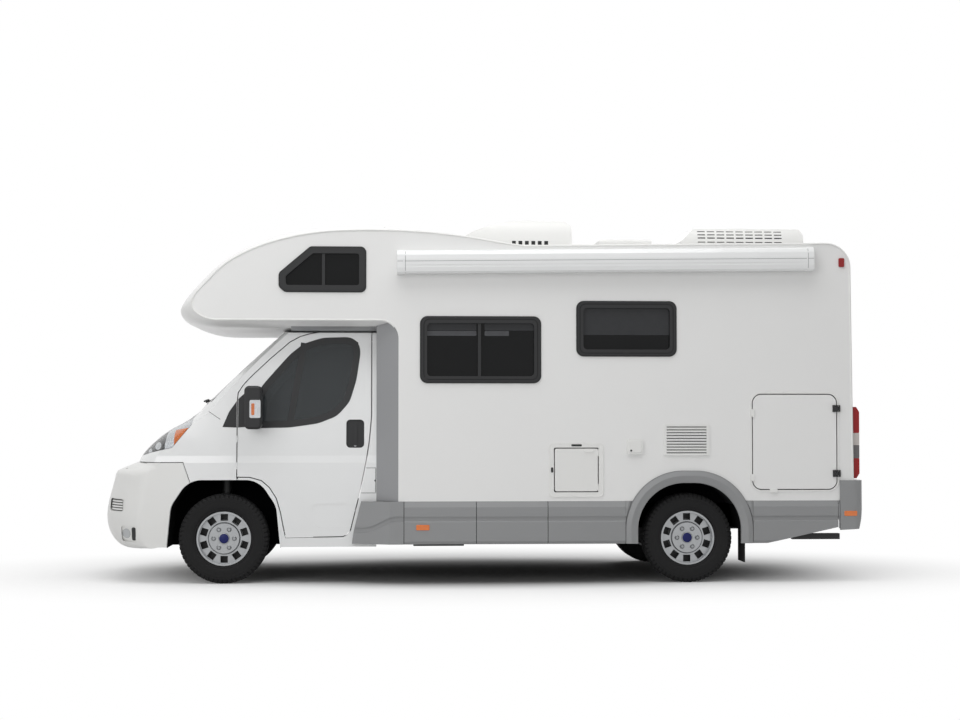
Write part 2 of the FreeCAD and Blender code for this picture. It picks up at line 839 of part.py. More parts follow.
def window_frame(which):
    """A frame of two steps round the opening, on the left side."""
    outer = body_half_width
    half_depth = window_frame_depth / 2
    ring = window_slab(which, 0.0, -outer - half_depth, -outer - seat_gap)
    ring = ring.fuse(window_slab(which, window_frame_step, -outer - window_frame_depth, -outer - half_depth))
    ring = ring.fuse(window_slab(which, window_frame_width + seat_gap, -outer - seat_gap, -outer + wall))
    clear = window_slab(which, window_frame_width + window_frame_depth, -outer - overrun, -outer + wall + overrun)
    ring = ring.cut(clear)
    if which in ("one", "alcove"):
        if which == "one":
            x = window_one_x + window_one_divider_share * window_one_length
        else:
            x = alcove_window_x + alcove_divider_share * alcove_window_length
        post = block(x - window_divider / 2, -outer - half_depth, 0, window_divider, half_depth + wall / 2 - seat_gap,
                     alcove_high_z)
        ring = ring.fuse(post.common(clear))
    return ring.removeSplitter()


def window_set():
    """Frames and panes of the fixed side walls."""
    frames, panes = [], []
    outer = body_half_width
    for side, names in ((-1, ("one", "two", "alcove")), (1, ("two", "alcove"))):
        for which in names:
            ring = window_frame(which)
            inset = window_frame_width + window_frame_depth + seat_gap
            pane = window_slab(which, inset, -outer + wall / 2, -outer + wall / 2 + window_pane)
            frames.append(ring if side < 0 else mirrored(ring))
            panes.append(pane if side < 0 else mirrored(pane))
    save("window_frames", frames)
    save("window_panes", panes)


def hinge(radius, toward, reach, depth):
    """A hinge upright at the origin, its outside facing -Y: the moving knuckle, and the fixed ears with the pin."""
    pin_radius = radius / 2
    length = hinge_length / 2
    start = length / 2
    ear_length = start - hinge_play
    bore = cylinder_z(0, 0, 0, pin_radius + seat_gap, hinge_length)
    plate_low, plate_high = sorted((0, toward * reach))
    plate = block(plate_low, 0, start, plate_high - plate_low, depth, length)
    moving = cylinder_z(0, 0, start, radius, length).fuse(plate).cut(bore)
    fixed = [cylinder_z(0, 0, 0, pin_radius, hinge_length)]
    plate_low, plate_high = sorted((0, -toward * reach))
    for low in (0, hinge_length - ear_length):
        fixed.append(cylinder_z(0, 0, low, radius, ear_length))
        fixed.append(block(plate_low, 0, low, plate_high - plate_low, depth, ear_length))
    return moving, fuse(fixed)


def hinges(x, y, starts, radius, toward, reach, depth):
    """Like hinges one above the other on the left side, as moving and fixed pieces."""
    moving, fixed = [], []
    for z in starts:
        for piece, rest in zip(hinge(radius, toward, reach, depth), (moving, fixed)):
            piece.translate(vector(x, y, z))
            rest.append(piece)
    return moving, fixed


def hatch(outline_slab, inner):
    """A hatch's flat frame and its leaf; inner is how far the frame reaches in from the outline."""
    outer = body_half_width
    frame = outline_slab(-garage_frame_width / 2, -outer - hatch_frame_depth, -outer - seat_gap)
    frame = frame.cut(outline_slab(inner, -outer - overrun, -outer + wall))
    leaf = outline_slab(inner + running_gap, -outer - hatch_frame_depth, -outer + wall)
    return frame, leaf


def garage_door():
    frame, leaf = hatch(garage_slab, garage_frame_width / 2)
    axis_x = garage_x + garage_length - garage_frame_width / 2 - running_gap / 2
    starts = [garage_z + share * garage_height for share in garage_hinge_shares]
    moving, fixed = hinges(axis_x, -body_half_width - hatch_frame_depth - hinge_stand_off, starts, hinge_radius, -1,
                           hinge_plate_length, hinge_stand_off)
    save("garage_door", [fuse([leaf] + moving)])
    return fuse([frame] + fixed)


def toilet_door():
    frame, leaf = hatch(toilet_slab, toilet_frame_width)
    axis_x = toilet_x + toilet_length - toilet_frame_width - running_gap / 2
    starts = [toilet_z + share * toilet_height for share in toilet_hinge_shares]
    moving, fixed = hinges(axis_x, -body_half_width - hatch_frame_depth, starts, seam_hinge_radius, -1,
                           seam_hinge_bite, hatch_frame_depth)
    save("toilet_door", [fuse([leaf] + moving)])
    return fuse([frame] + fixed)


def entry_door():
    outer = body_half_width
    frame, leaf = hatch(entry_slab, garage_frame_width / 2)
    leaf = leaf.cut(through(window_slab, "door", 0.0))
    pane = window_slab("door", seat_gap, -outer + wall / 2, -outer + wall / 2 + window_pane)
    axis_x = entry_x + garage_frame_width / 2 + running_gap / 2
    starts = [entry_z + share * entry_height for share in entry_hinge_shares]
    moving, fixed = hinges(axis_x, -outer - hatch_frame_depth - hinge_stand_off, starts, hinge_radius, 1,
                           hinge_plate_length, hinge_stand_off)
    save("entry_door", [mirrored(fuse([leaf] + moving))])
    save("entry_door_pane", [mirrored(pane)])
    return mirrored(fuse([frame] + fixed))


def service_fittings():
    """Fridge vent grille and power inlet on the left wall."""
    outer = body_half_width
    grille = rounded_slab(box_points(vent_x, vent_z, vent_length, vent_height), vent_depth,
                          -outer - vent_depth, -outer - seat_gap)
    pitch = vent_height / (vent_slot_count + 1)
    slot_height = pitch / 2
    slots = []
    for i in range(vent_slot_count):
        z = vent_z + pitch * (i + 1) - slot_height / 2
        slots.append(block(vent_x + pitch, -outer - overrun, z, vent_length - 2 * pitch, overrun - vent_depth / 2,
                           slot_height))
    inlet = rounded_slab(box_points(inlet_x, inlet_z, inlet_length, inlet_height), inlet_depth,
                         -outer - inlet_depth, -outer - seat_gap)
    return [grille.cut(slots), inlet]


def cab_surround():
    """The slanted posts and the head rail between the cab's sides and the wider living body."""
    half = body_half_width
    inner = cab_half_width - door_thickness
    top = side_wall_low_front_z
    post = [(cab_rear_x, cab_half_width), (body_front_x, half), (body_front_x, inner), (cab_rear_x, inner)]
    corners = [vector(x, -y, skirt_top) for x, y in post]
    column = Part.Face(Part.makePolygon(corners + corners[:1])).extrude(vector(0, 0, top - skirt_top))
    head_x = cab_rear_x + (door_front_x - cab_rear_x) * surround_reach_share
    outer_y = cab_half_width * surround_outer_share
    inner_y = cab_half_width * surround_inner_share
    low = door_high_z + running_gap
    high = top - seat_gap
    head = section_prism([(-outer_y, low), (-half + wall, high), (-inner_y, high), (-inner_y, low)],
                         head_x, cab_rear_x + wall)
    inside = slab(side_wall_edges(0.0), -half, -half + wall)
    cap = cap_loft(True)
    cap.translate(vector(0, 0, -seat_gap))
    save("cab_surround", both_sides([fuse([column, head]).cut([inside, cap])]))


def skirt_section(x, length, low):
    """A length of skirt: a sloped band along its top, a groove half way down and a turned-in lower edge."""
    outer = body_half_width + skirt_proud
    inner = outer - skirt_thickness
    bottom = outer - skirt_groove_depth
    points = [(inner, low), (outer - skirt_chamfer / 2, low), (outer, low + skirt_chamfer), (outer, skirt_groove_low_z),
              (bottom, skirt_groove_low_z + skirt_groove_depth), (bottom, skirt_groove_high_z),
              (outer, skirt_groove_high_z), (outer, skirt_top - skirt_band_height),
              (body_half_width + seat_gap, skirt_top - seat_gap), (inner, skirt_top - seat_gap)]
    return section_prism([(-y, z) for y, z in points], x, x + length)


def front_skirt():
    """The skirt's front piece, swept from the cab's side out to the living body's, with a wave in its groove."""
    first, last = door_foot_points
    door_edge = door_points(door_shares)[first:last]
    front = [(x + skirt_front_gap, z) for x, z in door_edge]
    reach = skirt_seams_x[0] - skirt_seam_gap / 2
    low_x = front[-1][0] - skirt_front_gap / 2
    high = skirt_top - seat_gap
    ring = [(low_x, skirt_low_z), (reach, skirt_low_z), (reach, high)] + front
    region = polygon_slab(ring, -body_half_width - 2 * overrun, 0)

    def sheet(depth, thickness):
        out = body_half_width + skirt_proud - depth
        start = cab_half_width + skirt_proud - depth
        points = [(low_x, -start), (skirt_sweep_end_x, -out), (reach, -out), (reach, -out + thickness),
                  (skirt_sweep_end_x, -out + thickness), (low_x, -start + thickness)]
        corners = [vector(x, y, skirt_low_z) for x, y in points]
        return Part.Face(Part.makePolygon(corners + corners[:1])).extrude(vector(0, 0, high - skirt_low_z))

    wave = place(skirt_wave_shares, low_x, skirt_low_z, reach - low_x, high - skirt_low_z)
    wave.append((reach, skirt_groove_high_z))
    drop = skirt_groove_high_z - skirt_groove_low_z
    lower = [(x, z - drop) for x, z in wave[::-1]]
    band = slab([curve([vector(x, 0, z) for x, z in run]) for run in
                 (wave, [wave[-1], lower[0]], lower, [lower[-1], wave[0]])], -body_half_width - 2 * overrun, 0)
    groove = sheet(0.0, skirt_groove_depth).common(band)
    body = section_prism([(-body_half_width - overrun, skirt_low_z), (-body_half_width - overrun, high), (0, high),
                          (0, skirt_low_z)], low_x, reach)
    return sheet(0.0, skirt_thickness).common(body).common(region).cut([groove, cab_form(-seat_gap, -seat_gap)])


def side_skirts():
    arch_front = rear_axle_x - arch_inner_half_length - arch_trim_width
    arch_rear = rear_axle_x + arch_inner_half_length + arch_trim_width
    stops = list(skirt_seams_x) + [arch_front]
    solids = [front_skirt()]
    for start, end in zip(stops[:-1], stops[1:]):
        solids.append(skirt_section(start + skirt_seam_gap / 2, end - start - skirt_seam_gap, skirt_low_z))
    rear = skirt_section(arch_rear + skirt_seam_gap / 2, skirt_rear_x - arch_rear - skirt_seam_gap, skirt_low_z)
    slope = [(arch_rear - overrun, skirt_low_z - overrun), (skirt_rear_x + overrun, skirt_low_z - overrun),
             (skirt_rear_x + overrun, skirt_rear_low_z + 2 * skirt_chamfer), (arch_rear + 2 * overrun, skirt_low_z)]
    solids.append(rear.cut(polygon_slab(slope, -body_half_width - overrun * 2, 0)))
    save("side_skirts", both_sides(solids))


def rear_arch_trims():
    """A bevelled band round each rear wheel's opening."""
    outer = body_half_width + arch_flare
    trim = rear_arch_slab(arch_trim_width - seat_gap, -outer + arch_trim_chamfer, -body_half_width - seat_gap)
    trim = trim.fuse(rear_arch_slab(arch_trim_width - arch_trim_chamfer, -outer, -outer + arch_trim_chamfer))
    low = block(rear_axle_x - wheelbase / 2, -outer - overrun, -wheelbase, wheelbase, 2 * overrun + wall,
                wheelbase + skirt_low_z)
    save("rear_arch_trims", both_sides([trim.cut([rear_arch_slab(0.0, -outer - overrun, 0), low])]))


def rear_bumper():
    """A moulded shell round the rear end: its side outline, rounded in plan and open inside."""
    half = body_half_width + skirt_proud
    length = bumper_rear_x - rear_bumper_front_x
    height = rear_bumper_high_z - rear_bumper_low_z
    side = place(rear_bumper_shares, rear_bumper_front_x, rear_bumper_low_z, length, height)
    plan = [(rear_bumper_front_x - length, -half), (bumper_rear_x, -half), (bumper_rear_x, half),
            (rear_bumper_front_x - length, half)]
    shape = polygon_slab(side, -half, half).common(
        plan_slab(plan, rear_bumper_corner, rear_bumper_low_z, rear_bumper_high_z))
    inner_x = body_rear_low_x + seat_gap
    inner_half = body_half_width + seat_gap
    start = rear_bumper_front_x - overrun
    inner = block(start, -inner_half, 0, inner_x - start, 2 * inner_half, rear_bumper_high_z + overrun)
    under = block(start, -half + rear_bumper_wall, 0, bumper_rear_x - rear_bumper_wall - start,
                  2 * (half - rear_bumper_wall), skirt_top)
    save("rear_bumper", [shape.cut([inner, under])])


def rear_lamps():
    """A tall lamp on each rear corner, its lens parted by grooves."""
    height = tail_lamp_high_z - tail_lamp_low_z
    x = rear_wall_x(tail_lamp_low_z) + seat_gap
    side = place(tail_lamp_shares, x, tail_lamp_low_z, tail_lamp_depth, height)
    lamp = polygon_slab(side, -tail_lamp_y - tail_lamp_width, -tail_lamp_y)
    grooves = []
    for share in tail_lamp_section_shares:
        grooves.append(block(x + tail_lamp_depth - tail_lamp_groove_depth, -tail_lamp_y - tail_lamp_width,
                             tail_lamp_low_z + share * height, tail_lamp_groove_depth, tail_lamp_width,
                             tail_lamp_groove))
    save("rear_lamps", both_sides([lamp.cut(grooves)]))


# Roof units
def awning_face(x, z, grow):
    """The case's cross section, seen along X."""
    outer = body_half_width + seat_gap
    points = place(awning_shares, outer, z - grow, awning_depth + grow, awning_height + 2 * grow)
    corners = [vector(x, -y, level) for y, level in points]
    return Part.Face(Part.makePolygon(corners + corners[:1]))


def awning_case():
    """A rolled awning's case, rising with the roof's line, between two end pieces."""
    slope = awning_rise / awning_length
    case = awning_face(awning_x, awning_z, 0.0).extrude(vector(awning_length, 0, awning_rise))
    front_y = -body_half_width - awning_depth
    seam_z = awning_z + awning_seam_share * awning_height
    seam = block(awning_x, front_y - overrun, seam_z, awning_seam, overrun + awning_seam, awning_seam)
    seam = seam.Faces[0].extrude(vector(awning_length, 0, awning_rise))
    ends = []
    for start in (0.0, awning_length - awning_end_length):
        face = awning_face(awning_x + start, awning_z + start * slope, awning_end_step)
        ends.append(face.extrude(vector(awning_end_length, 0, awning_end_length * slope)))
    save("awning_case", [fuse([case.cut(seam)] + ends)])


def roof_z(x):
    share = (x - ramp_end_x) / (body_rear_high_x - rear_corner_radius - ramp_end_x)
    return roof_front_z - cap_edge_step + (roof_rear_z - roof_front_z) * share


def cooler_cross(low, top, half, x_low, x_high):
    """The cross section that a roof unit's cover has: upright sides that round into its top."""
    height = top - low
    side = [(u * half, low + v * height) for u, v in cooler_side_shares]
    far = [(-y, z) for y, z in side[::-1]]
    under = low - overrun
    pieces = [[(half, under), side[0]], side, [side[-1], far[0]], far, [far[-1], (-half, under)],
              [(-half, under), (half, under)]]
    face = Part.Face(outline(pieces, "yz", x_low))
    return face.extrude(vector(x_high - x_low, 0, 0))


def front_cooler():
    """The front unit's smooth cover, with a row of square openings low in each side."""
    low = roof_z(ramp_end_x) + seat_gap
    height = front_cooler_top_z - low
    half = front_cooler_half_width
    end = front_cooler_x + front_cooler_length
    top = place(front_cooler_shares, front_cooler_x, low, front_cooler_length, height)
    rear_low = (end, roof_z(end) + seat_gap)
    ramp = (ramp_end_x, low)
    front_low = (front_cooler_x, low)
    pieces = [[front_low, top[0]], top, [top[-1], (end, top[-1][1] - roof_unit_corner)],
              [(end, top[-1][1] - roof_unit_corner), rear_low], [rear_low, ramp], [ramp, front_low]]
    cover = Part.Face(outline(pieces, "xz", -half)).extrude(vector(0, 2 * half, 0))
    under = cap_loft(True)
    under.translate(vector(0, 0, seat_gap))
    slots = []
    start = front_cooler_x + front_slot_share * front_cooler_length
    for i in range(front_slot_count):
        slots.append(block(start + i * front_slot_pitch, -half - overrun, low + front_slot_height_share * height,
                           front_slot_size, overrun + slot_depth, front_slot_size))
    cross = cooler_cross(low, front_cooler_top_z, half, front_cooler_x - overrun, end + overrun)
    return cover.common(cross).cut([under] + both_sides(slots))


def rear_cooler():
    """The rear unit, with rows of louvres in each side."""
    end = rear_cooler_x + rear_cooler_length
    top = rear_cooler_top_z
    half = rear_cooler_half_width
    front_z = roof_z(rear_cooler_x) + seat_gap
    points = [(rear_cooler_x, front_z), (end, roof_z(end) + seat_gap), (end, top - roof_unit_corner),
              (end - roof_unit_corner / 2, top), (rear_cooler_x + 2 * roof_unit_corner, top),
              (rear_cooler_x, front_z + 2 * roof_unit_corner)]
    slots = []
    for row in range(louvre_rows):
        for column in range(louvre_columns):
            slots.append(block(rear_cooler_x + louvre_start + column * louvre_column_pitch, -half - overrun,
                               front_z + louvre_low + row * louvre_pitch, louvre_length, overrun + slot_depth,
                               louvre_height))
    cross = cooler_cross(front_z, top, half, rear_cooler_x - overrun, end + overrun)
    return polygon_slab(points, -half, half).common(cross).cut(both_sides(slots))


def roof_vent():
    x = roof_vent_x
    half = roof_vent_length / 2
    base = roof_z(x + roof_vent_length) + seat_gap
    top = base + roof_vent_frame_height
    frame = block(x, -half, base, roof_vent_length, roof_vent_length, roof_vent_frame_height)
    inner = roof_vent_length - 2 * roof_vent_frame_wall
    frame = frame.cut(block(x + roof_vent_frame_wall, -inner / 2, base - overrun, inner, inner, 3 * overrun))
    lid = block(x, -half, top + seat_gap, roof_vent_length, roof_vent_length, roof_vent_lid_height)
    lid = lid.makeFillet(roof_vent_lid_height / 2, [edge for edge in lid.Edges if edge.BoundBox.ZMin > top + 1])
    save("roof_vent_frame", [frame])
    save("roof_vent_lid", [lid])


# Cab
def cab_points(shares):
    return place(shares, cab_front_x, cab_low_z, cab_rear_x - cab_front_x, cab_high_z - cab_low_z)


def cab_section(crown_share, inset, at):
    """The cab's closed side outline at one place across, moved in by an inset."""
    face = blend(cab_points(bumper_face_side_shares), cab_points(bumper_face_middle_shares), crown_share)
    bonnet = blend(cab_points(bonnet_side_shares), cab_points(bonnet_middle_shares), crown_share)
    screen = blend(cab_points(screen_side_shares), cab_points(screen_middle_shares), crown_share)
    if inset:
        face = offset_points(face, -inset)
        bonnet = offset_points(bonnet, -inset)
        screen = offset_points(screen, -inset)
        bonnet[-1] = screen[0]
    low_rear = (cab_rear_x, face[0][1])
    high_rear = (cab_rear_x, screen[-1][1])
    pieces = [face, [face[-1], bonnet[0]], bonnet, screen, [screen[-1], high_rear], [high_rear, low_rear],
              [low_rear, face[0]]]
    return outline(pieces, "xz", at)


def cab_form(inset, side_inset):
    """The cab's outer form, or the same form moved in."""
    half = cab_half_width + overrun
    sections = []
    for place_share, crown_share in zip(cab_width_shares, cab_crown_shares):
        sections.append(cab_section(crown_share, inset, place_share * cab_half_width))
    form = Part.makeLoft(sections, True, False)
    height = cab_high_z - cab_low_z
    side = [(u * cab_half_width - side_inset, cab_low_z + v * height) for u, v in cab_section_shares]
    side[0] = (side[0][0], cab_low_z - overrun)
    side[-1] = (side[-1][0], cab_high_z + overrun)
    ring = [(-y, z) for y, z in side[::-1]]
    belt = belt_point
    far = len(ring) - 1 - belt
    pieces = [side[:2], side[1:belt + 1], side[belt:belt + 2], side[belt + 1:-1], side[-2:], [side[-1], ring[0]],
              ring[:2], ring[1:far], ring[far - 1:far + 1], ring[far:-1], ring[-2:], [ring[-1], side[0]]]
    face = Part.Face(outline(pieces, "yz", cab_front_x - overrun))
    return form.common(face.extrude(vector(cab_rear_x - cab_front_x + 2 * overrun, 0, 0)))


def door_points(shares):
    return place(shares, door_front_x, door_low_z, door_rear_x - door_front_x, door_high_z - door_low_z)


def side_region(points, grow, y_low, y_high):
    """A region of the cab's side as a solid; grow moves its outline out."""
    moved = inset_polygon(points, -grow) if grow else points
    return polygon_slab(moved, y_low, y_high)


def front_arch_slab(grow, y_low, y_high):
    """The front wheel's opening, wider at its foot than at its top, grown by a distance."""
    rear = [(front_axle_x + u * front_arch_half_length, v * front_arch_top_z) for u, v in front_arch_shares]
    front = [(2 * front_axle_x - x, z) for x, z in rear[::-1]]
    return rounded_slab(inset_polygon(rear + front, -grow), front_arch_corner_radius + grow, y_low, y_high)


def screen_prism(inset):
    low_half = screen_low_half_width - inset
    high_half = screen_high_half_width - inset
    return section_prism([(-low_half, screen_low_z + inset), (low_half, screen_low_z + inset),
                          (high_half, screen_high_z - inset), (-high_half, screen_high_z - inset)],
                         cab_front_x, door_rear_x)


def bonnet_prism(grow):
    half = bonnet_half_width + grow
    start = cab_front_x - overrun
    return block(start, -half, bonnet_front_z - grow, bonnet_rear_x + grow - start, 2 * half, cab_high_z)


def side_layer(form, depth, region):
    """What lies within a depth of the form's sides, inside a region."""
    return form.cut(cab_form(0.0, depth)).common(region)


def cab_door(outer, opening_side):
    """The left door: a leaf with its window, pressed panel, handle pocket and hinge halves."""
    left, inner_side = opening_side
    ring = door_points(door_shares)
    leaf = outer.cut(cab_form(0.0, door_thickness)).common(side_region(ring, 0.0, left, inner_side))
    window_points = door_points(door_window_shares)
    window = side_region(window_points, 0.0, left, inner_side)
    panel = rounded_slab(door_points(door_panel_shares), door_panel_corner, left, inner_side)
    pocket_points = box_points(handle_x, handle_z, handle_length, handle_height)
    pocket = rounded_slab(pocket_points, handle_corner, left, inner_side)
    leaf = leaf.cut([window, side_layer(outer, door_panel_depth, panel), side_layer(outer, handle_depth, pocket)])
    pane_outer = cab_form(cab_skin, glass_recess)
    pane_inner = cab_form(cab_skin, glass_recess + glass_thickness)
    pane = pane_outer.cut(pane_inner).common(side_region(window_points, -seat_gap, left, inner_side))
    starts = [door_low_z + share * (door_high_z - door_low_z) for share in cab_hinge_shares]
    knuckles_, ears = hinges(door_front_x - running_gap / 2, -cab_half_width - cab_hinge_stand_off, starts,
                             seam_hinge_radius, 1, seam_hinge_bite, seam_hinge_depth)

    cup = rounded_slab(box_points(handle_x, handle_z, handle_length, handle_height, seat_gap), handle_corner,
                       left, inner_side)
    bar_x = handle_x + (handle_length - handle_bar) / 2
    bar = rounded_slab(box_points(bar_x, handle_z + handle_corner / 2, handle_bar, handle_height - handle_corner),
                       handle_bar / 2, left, inner_side)
    floor_form = cab_form(0.0, handle_depth - handle_wall)
    handle = side_layer(floor_form, handle_depth - seat_gap, cup)
    handle = handle.fuse(side_layer(cab_form(0.0, handle_wall), handle_depth - handle_wall / 2, bar)).removeSplitter()
    save("cab_door_left", [fuse([leaf] + knuckles_)])
    save("cab_door_right", [mirrored(fuse([leaf] + knuckles_))])
    save("cab_door_glass_left", [pane])
    save("cab_door_glass_right", [mirrored(pane)])
    save("cab_door_handle_left", [handle])
    save("cab_door_handle_right", [mirrored(handle)])
    return ears


def front_grille():
    """Bars behind the bumper's two front openings, in a flange that rests on the bumper's inner face."""
    sheet = cab_form(cab_skin + seat_gap, cab_skin).cut(cab_form(cab_skin + grille_thickness, cab_skin))
    solids = []
    for low, height, gaps in grille_heights:
        half = grille_half_width
        flange = grille_flange
        plate = section_prism([(-half - flange, low - flange), (half + flange, low - flange),
                               (half + flange, low + height + flange), (-half - flange, low + height + flange)],
                              cab_front_x - overrun, bumper_rear_low_x)
        pitch = height / gaps
        cuts = []
        for i in range(gaps):
            cuts.append(block(cab_front_x - overrun, -half, low + i * pitch + grille_bar / 2,
                              bumper_rear_low_x - cab_front_x, 2 * half, pitch - grille_bar))
        solids.append(sheet.common(plate).cut(cuts))
    save("front_grille", solids)


def grille_openings():
    return [block(cab_front_x - overrun, -grille_half_width, low, bumper_rear_low_x - cab_front_x,
                  2 * grille_half_width, height) for low, height, gaps in grille_heights]


def cab():
    arch_side = -cab_half_width - overrun
    lip = front_arch_slab(arch_lip_width, arch_side, -housing_inner_y)
    lip = cab_form(-arch_lip_height, -arch_lip_height).common(lip)
    above = block(cab_front_x, arch_side, cab_low_z, cab_rear_x - cab_front_x, -2 * arch_side, cab_high_z)
    outer = fuse([cab_form(0.0, 0.0)] + both_sides([lip.common(above)]))
    thin = cab_form(cab_skin, cab_skin)
    thick = cab_form(cab_skin, door_thickness)
    half = cab_half_width + overrun
    left = -half
    inner_side = -cab_half_width * surround_reach_share
    door_ears = cab_door(outer, (left, inner_side))
    ring = door_points(door_shares)
    opening = side_region(ring, running_gap, left, inner_side)

    # bonnet, windscreen, lamps, bumper and wings
    arch = front_arch_slab(0.0, left, -housing_inner_y)
    skin = outer.cut(thin)
    knuckle_piece, ears = hinge(seam_hinge_radius, -1, seam_hinge_bite, seam_hinge_depth)
    for piece in (knuckle_piece, ears):
        piece.rotate(vector(0, 0, 0), vector(1, 0, 0), -90)
        piece.translate(vector(bonnet_rear_x + running_gap / 2, -bonnet_hinge_y, bonnet_hinge_z))
    bonnet = fuse([skin.common(bonnet_prism(0.0))] + both_sides([knuckle_piece]))
    save("bonnet", [bonnet])
    bonnet_space = bonnet_prism(running_gap)
    lamp_ring = cab_points(lamp_shares)
    lamp_region = side_region(lamp_ring, 0.0, left, -bonnet_half_width - running_gap)
    lamp = outer.cut(cab_form(2 * cab_skin, 2 * cab_skin)).common(lamp_region)
    save("headlamps", both_sides([lamp]))
    lamp_space = side_region(lamp_ring, lamp_seam, left, -bonnet_half_width)
    low = cab_low_z - overrun
    bumper_edge = [(bumper_rear_low_x, low), (bumper_rear_low_x, bumper_seam_z), (bumper_rear_high_x, bumper_top_z)]
    bumper_region = polygon_slab([(cab_front_x - overrun, low)] + bumper_edge + [(cab_front_x - overrun, bumper_top_z)],
                                 -half, half)
    both_arches = [arch, mirrored(arch)]
    recesses = []
    for x, z, length, height in (fog_recess, slot_recess):
        region = rounded_slab(box_points(x, z, length, height), recess_corner, left, inner_side)
        recesses.append(outer.cut(cab_form(recess_depth, recess_depth)).common(region))
    bumper = skin.common(bumper_region).cut(both_arches + [lamp_space, mirrored(lamp_space), bonnet_space]
                                            + both_sides(recesses) + grille_openings())
    save("front_bumper", [bumper])
    front_grille()
    wing_depth = half - bonnet_half_width - running_gap
    wing_rear_x = door_front_x - panel_seam
    wing_high = block(cab_front_x, -half, bumper_top_z + panel_seam, wing_rear_x - cab_front_x, wing_depth,
                      wing_top_z - bumper_top_z)
    wing_ring = [(x + panel_seam, z) for x, z in bumper_edge]
    wing_ring += [(bumper_rear_high_x + panel_seam, wing_top_z), (wing_rear_x, wing_top_z), (wing_rear_x, low)]
    wing_low = polygon_slab(wing_ring, -half, -half + wing_depth)
    wing = skin.common(wing_high.fuse(wing_low)).cut([arch, lamp_space, opening])
    save("front_wings", both_sides([fuse([wing] + door_ears)]))
    pane = cab_form(glass_recess, cab_skin).cut(cab_form(glass_recess + glass_thickness, cab_skin))
    save("windscreen", [pane.common(screen_prism(seat_gap))])
    cab_shell(outer, thin, thick, ring, opening, bonnet_space, both_arches, ears)


def cab_shell(outer, thin, thick, ring, opening, bonnet_space, both_arches, bonnet_ears):
    """Roof edge, posts and sills behind the doors and panels, with floor, bulkhead and wheel housings."""
    half = cab_half_width + overrun
    length = cab_rear_x - cab_front_x
    keep = block(cab_front_x, -half, wing_top_z + panel_seam, length, 2 * half, cab_high_z)
    rear = block(door_front_x + panel_seam, -half, 0, cab_rear_x - door_front_x, 2 * half, cab_high_z)
    shell = outer.cut(thick).common(keep.fuse(rear))
    shell = shell.cut([opening, mirrored(opening), screen_prism(0.0), bonnet_space] + both_arches)
    gap_top = block(cab_front_x, -half, alcove_low_z - seat_gap, length, 2 * half, overrun)
    flap = (fuel_flap_x, fuel_flap_z, fuel_flap_length, fuel_flap_height)
    seam = rounded_slab(box_points(*flap), fuel_flap_corner, -half, 0).cut(
        rounded_slab(box_points(*flap, fuel_flap_seam), fuel_flap_corner, -half, 0))
    seam = side_layer(outer, fuel_flap_seam, seam)
    floor_half = cab_half_width * cab_section_shares[0][0] - door_thickness - running_gap
    sheet = cab_floor_thickness
    floor = block(bulkhead_low_x, -floor_half, cab_floor_z, cab_rear_x - bulkhead_low_x, 2 * floor_half, sheet)
    low_wall = block(bulkhead_low_x, -floor_half, cab_floor_z, sheet, 2 * floor_half, bulkhead_step_z - cab_floor_z)
    shelf = block(bulkhead_high_x, -floor_half, bulkhead_step_z - sheet, bulkhead_low_x + sheet - bulkhead_high_x,
                  2 * floor_half, sheet)
    high_wall = block(bulkhead_high_x, -half, bulkhead_step_z - sheet, sheet, 2 * half,
                      bulkhead_top_z - bulkhead_step_z + sheet)
    bulkhead = fuse([low_wall.common(thick), shelf.common(thick), high_wall.common(thin)])
    sill_front = door_rear_x + running_gap
    rear_sill = block(sill_front, -half, cab_floor_z, cab_rear_x - sill_front, 2 * half, sheet)
    foot_low = tyre_radius + kingpin_height / 2 + running_gap
    foot_space = centred_block(front_axle_x, 0, foot_low - seat_gap, lower_arm_width + 2 * seat_gap,
                               2 * cab_half_width, lower_arm_height + 2 * seat_gap)
    door_space = side_region(ring, running_gap, -half, -floor_half)
    below = block(cab_front_x, -half, -overrun, wheelbase, 2 * half, cab_low_z + overrun)
    housings = []
    for side in (-1, 1):
        low_y, high_y = sorted((side * housing_inner_y, side * (cab_half_width - cab_skin)))
        shape = front_arch_slab(housing_wall, low_y, high_y)
        inner_low, inner_high = sorted((side * (housing_inner_y + housing_wall), side * half))
        shape = shape.cut([front_arch_slab(0.0, inner_low, inner_high), below])
        housings.append(shape.common(thin).cut([foot_space, door_space, mirrored(door_space)]))
    under = block(cab_front_x, -floor_half, -overrun, wheelbase, 2 * floor_half, cab_floor_z + overrun)
    shell = shell.cut([gap_top, under, seam])
    inner_parts = [floor.cut(both_arches), bulkhead.cut(both_arches), rear_sill.common(thin)]
    save("cab_shell", [fuse([shell] + inner_parts + housings + both_sides([bonnet_ears]))])


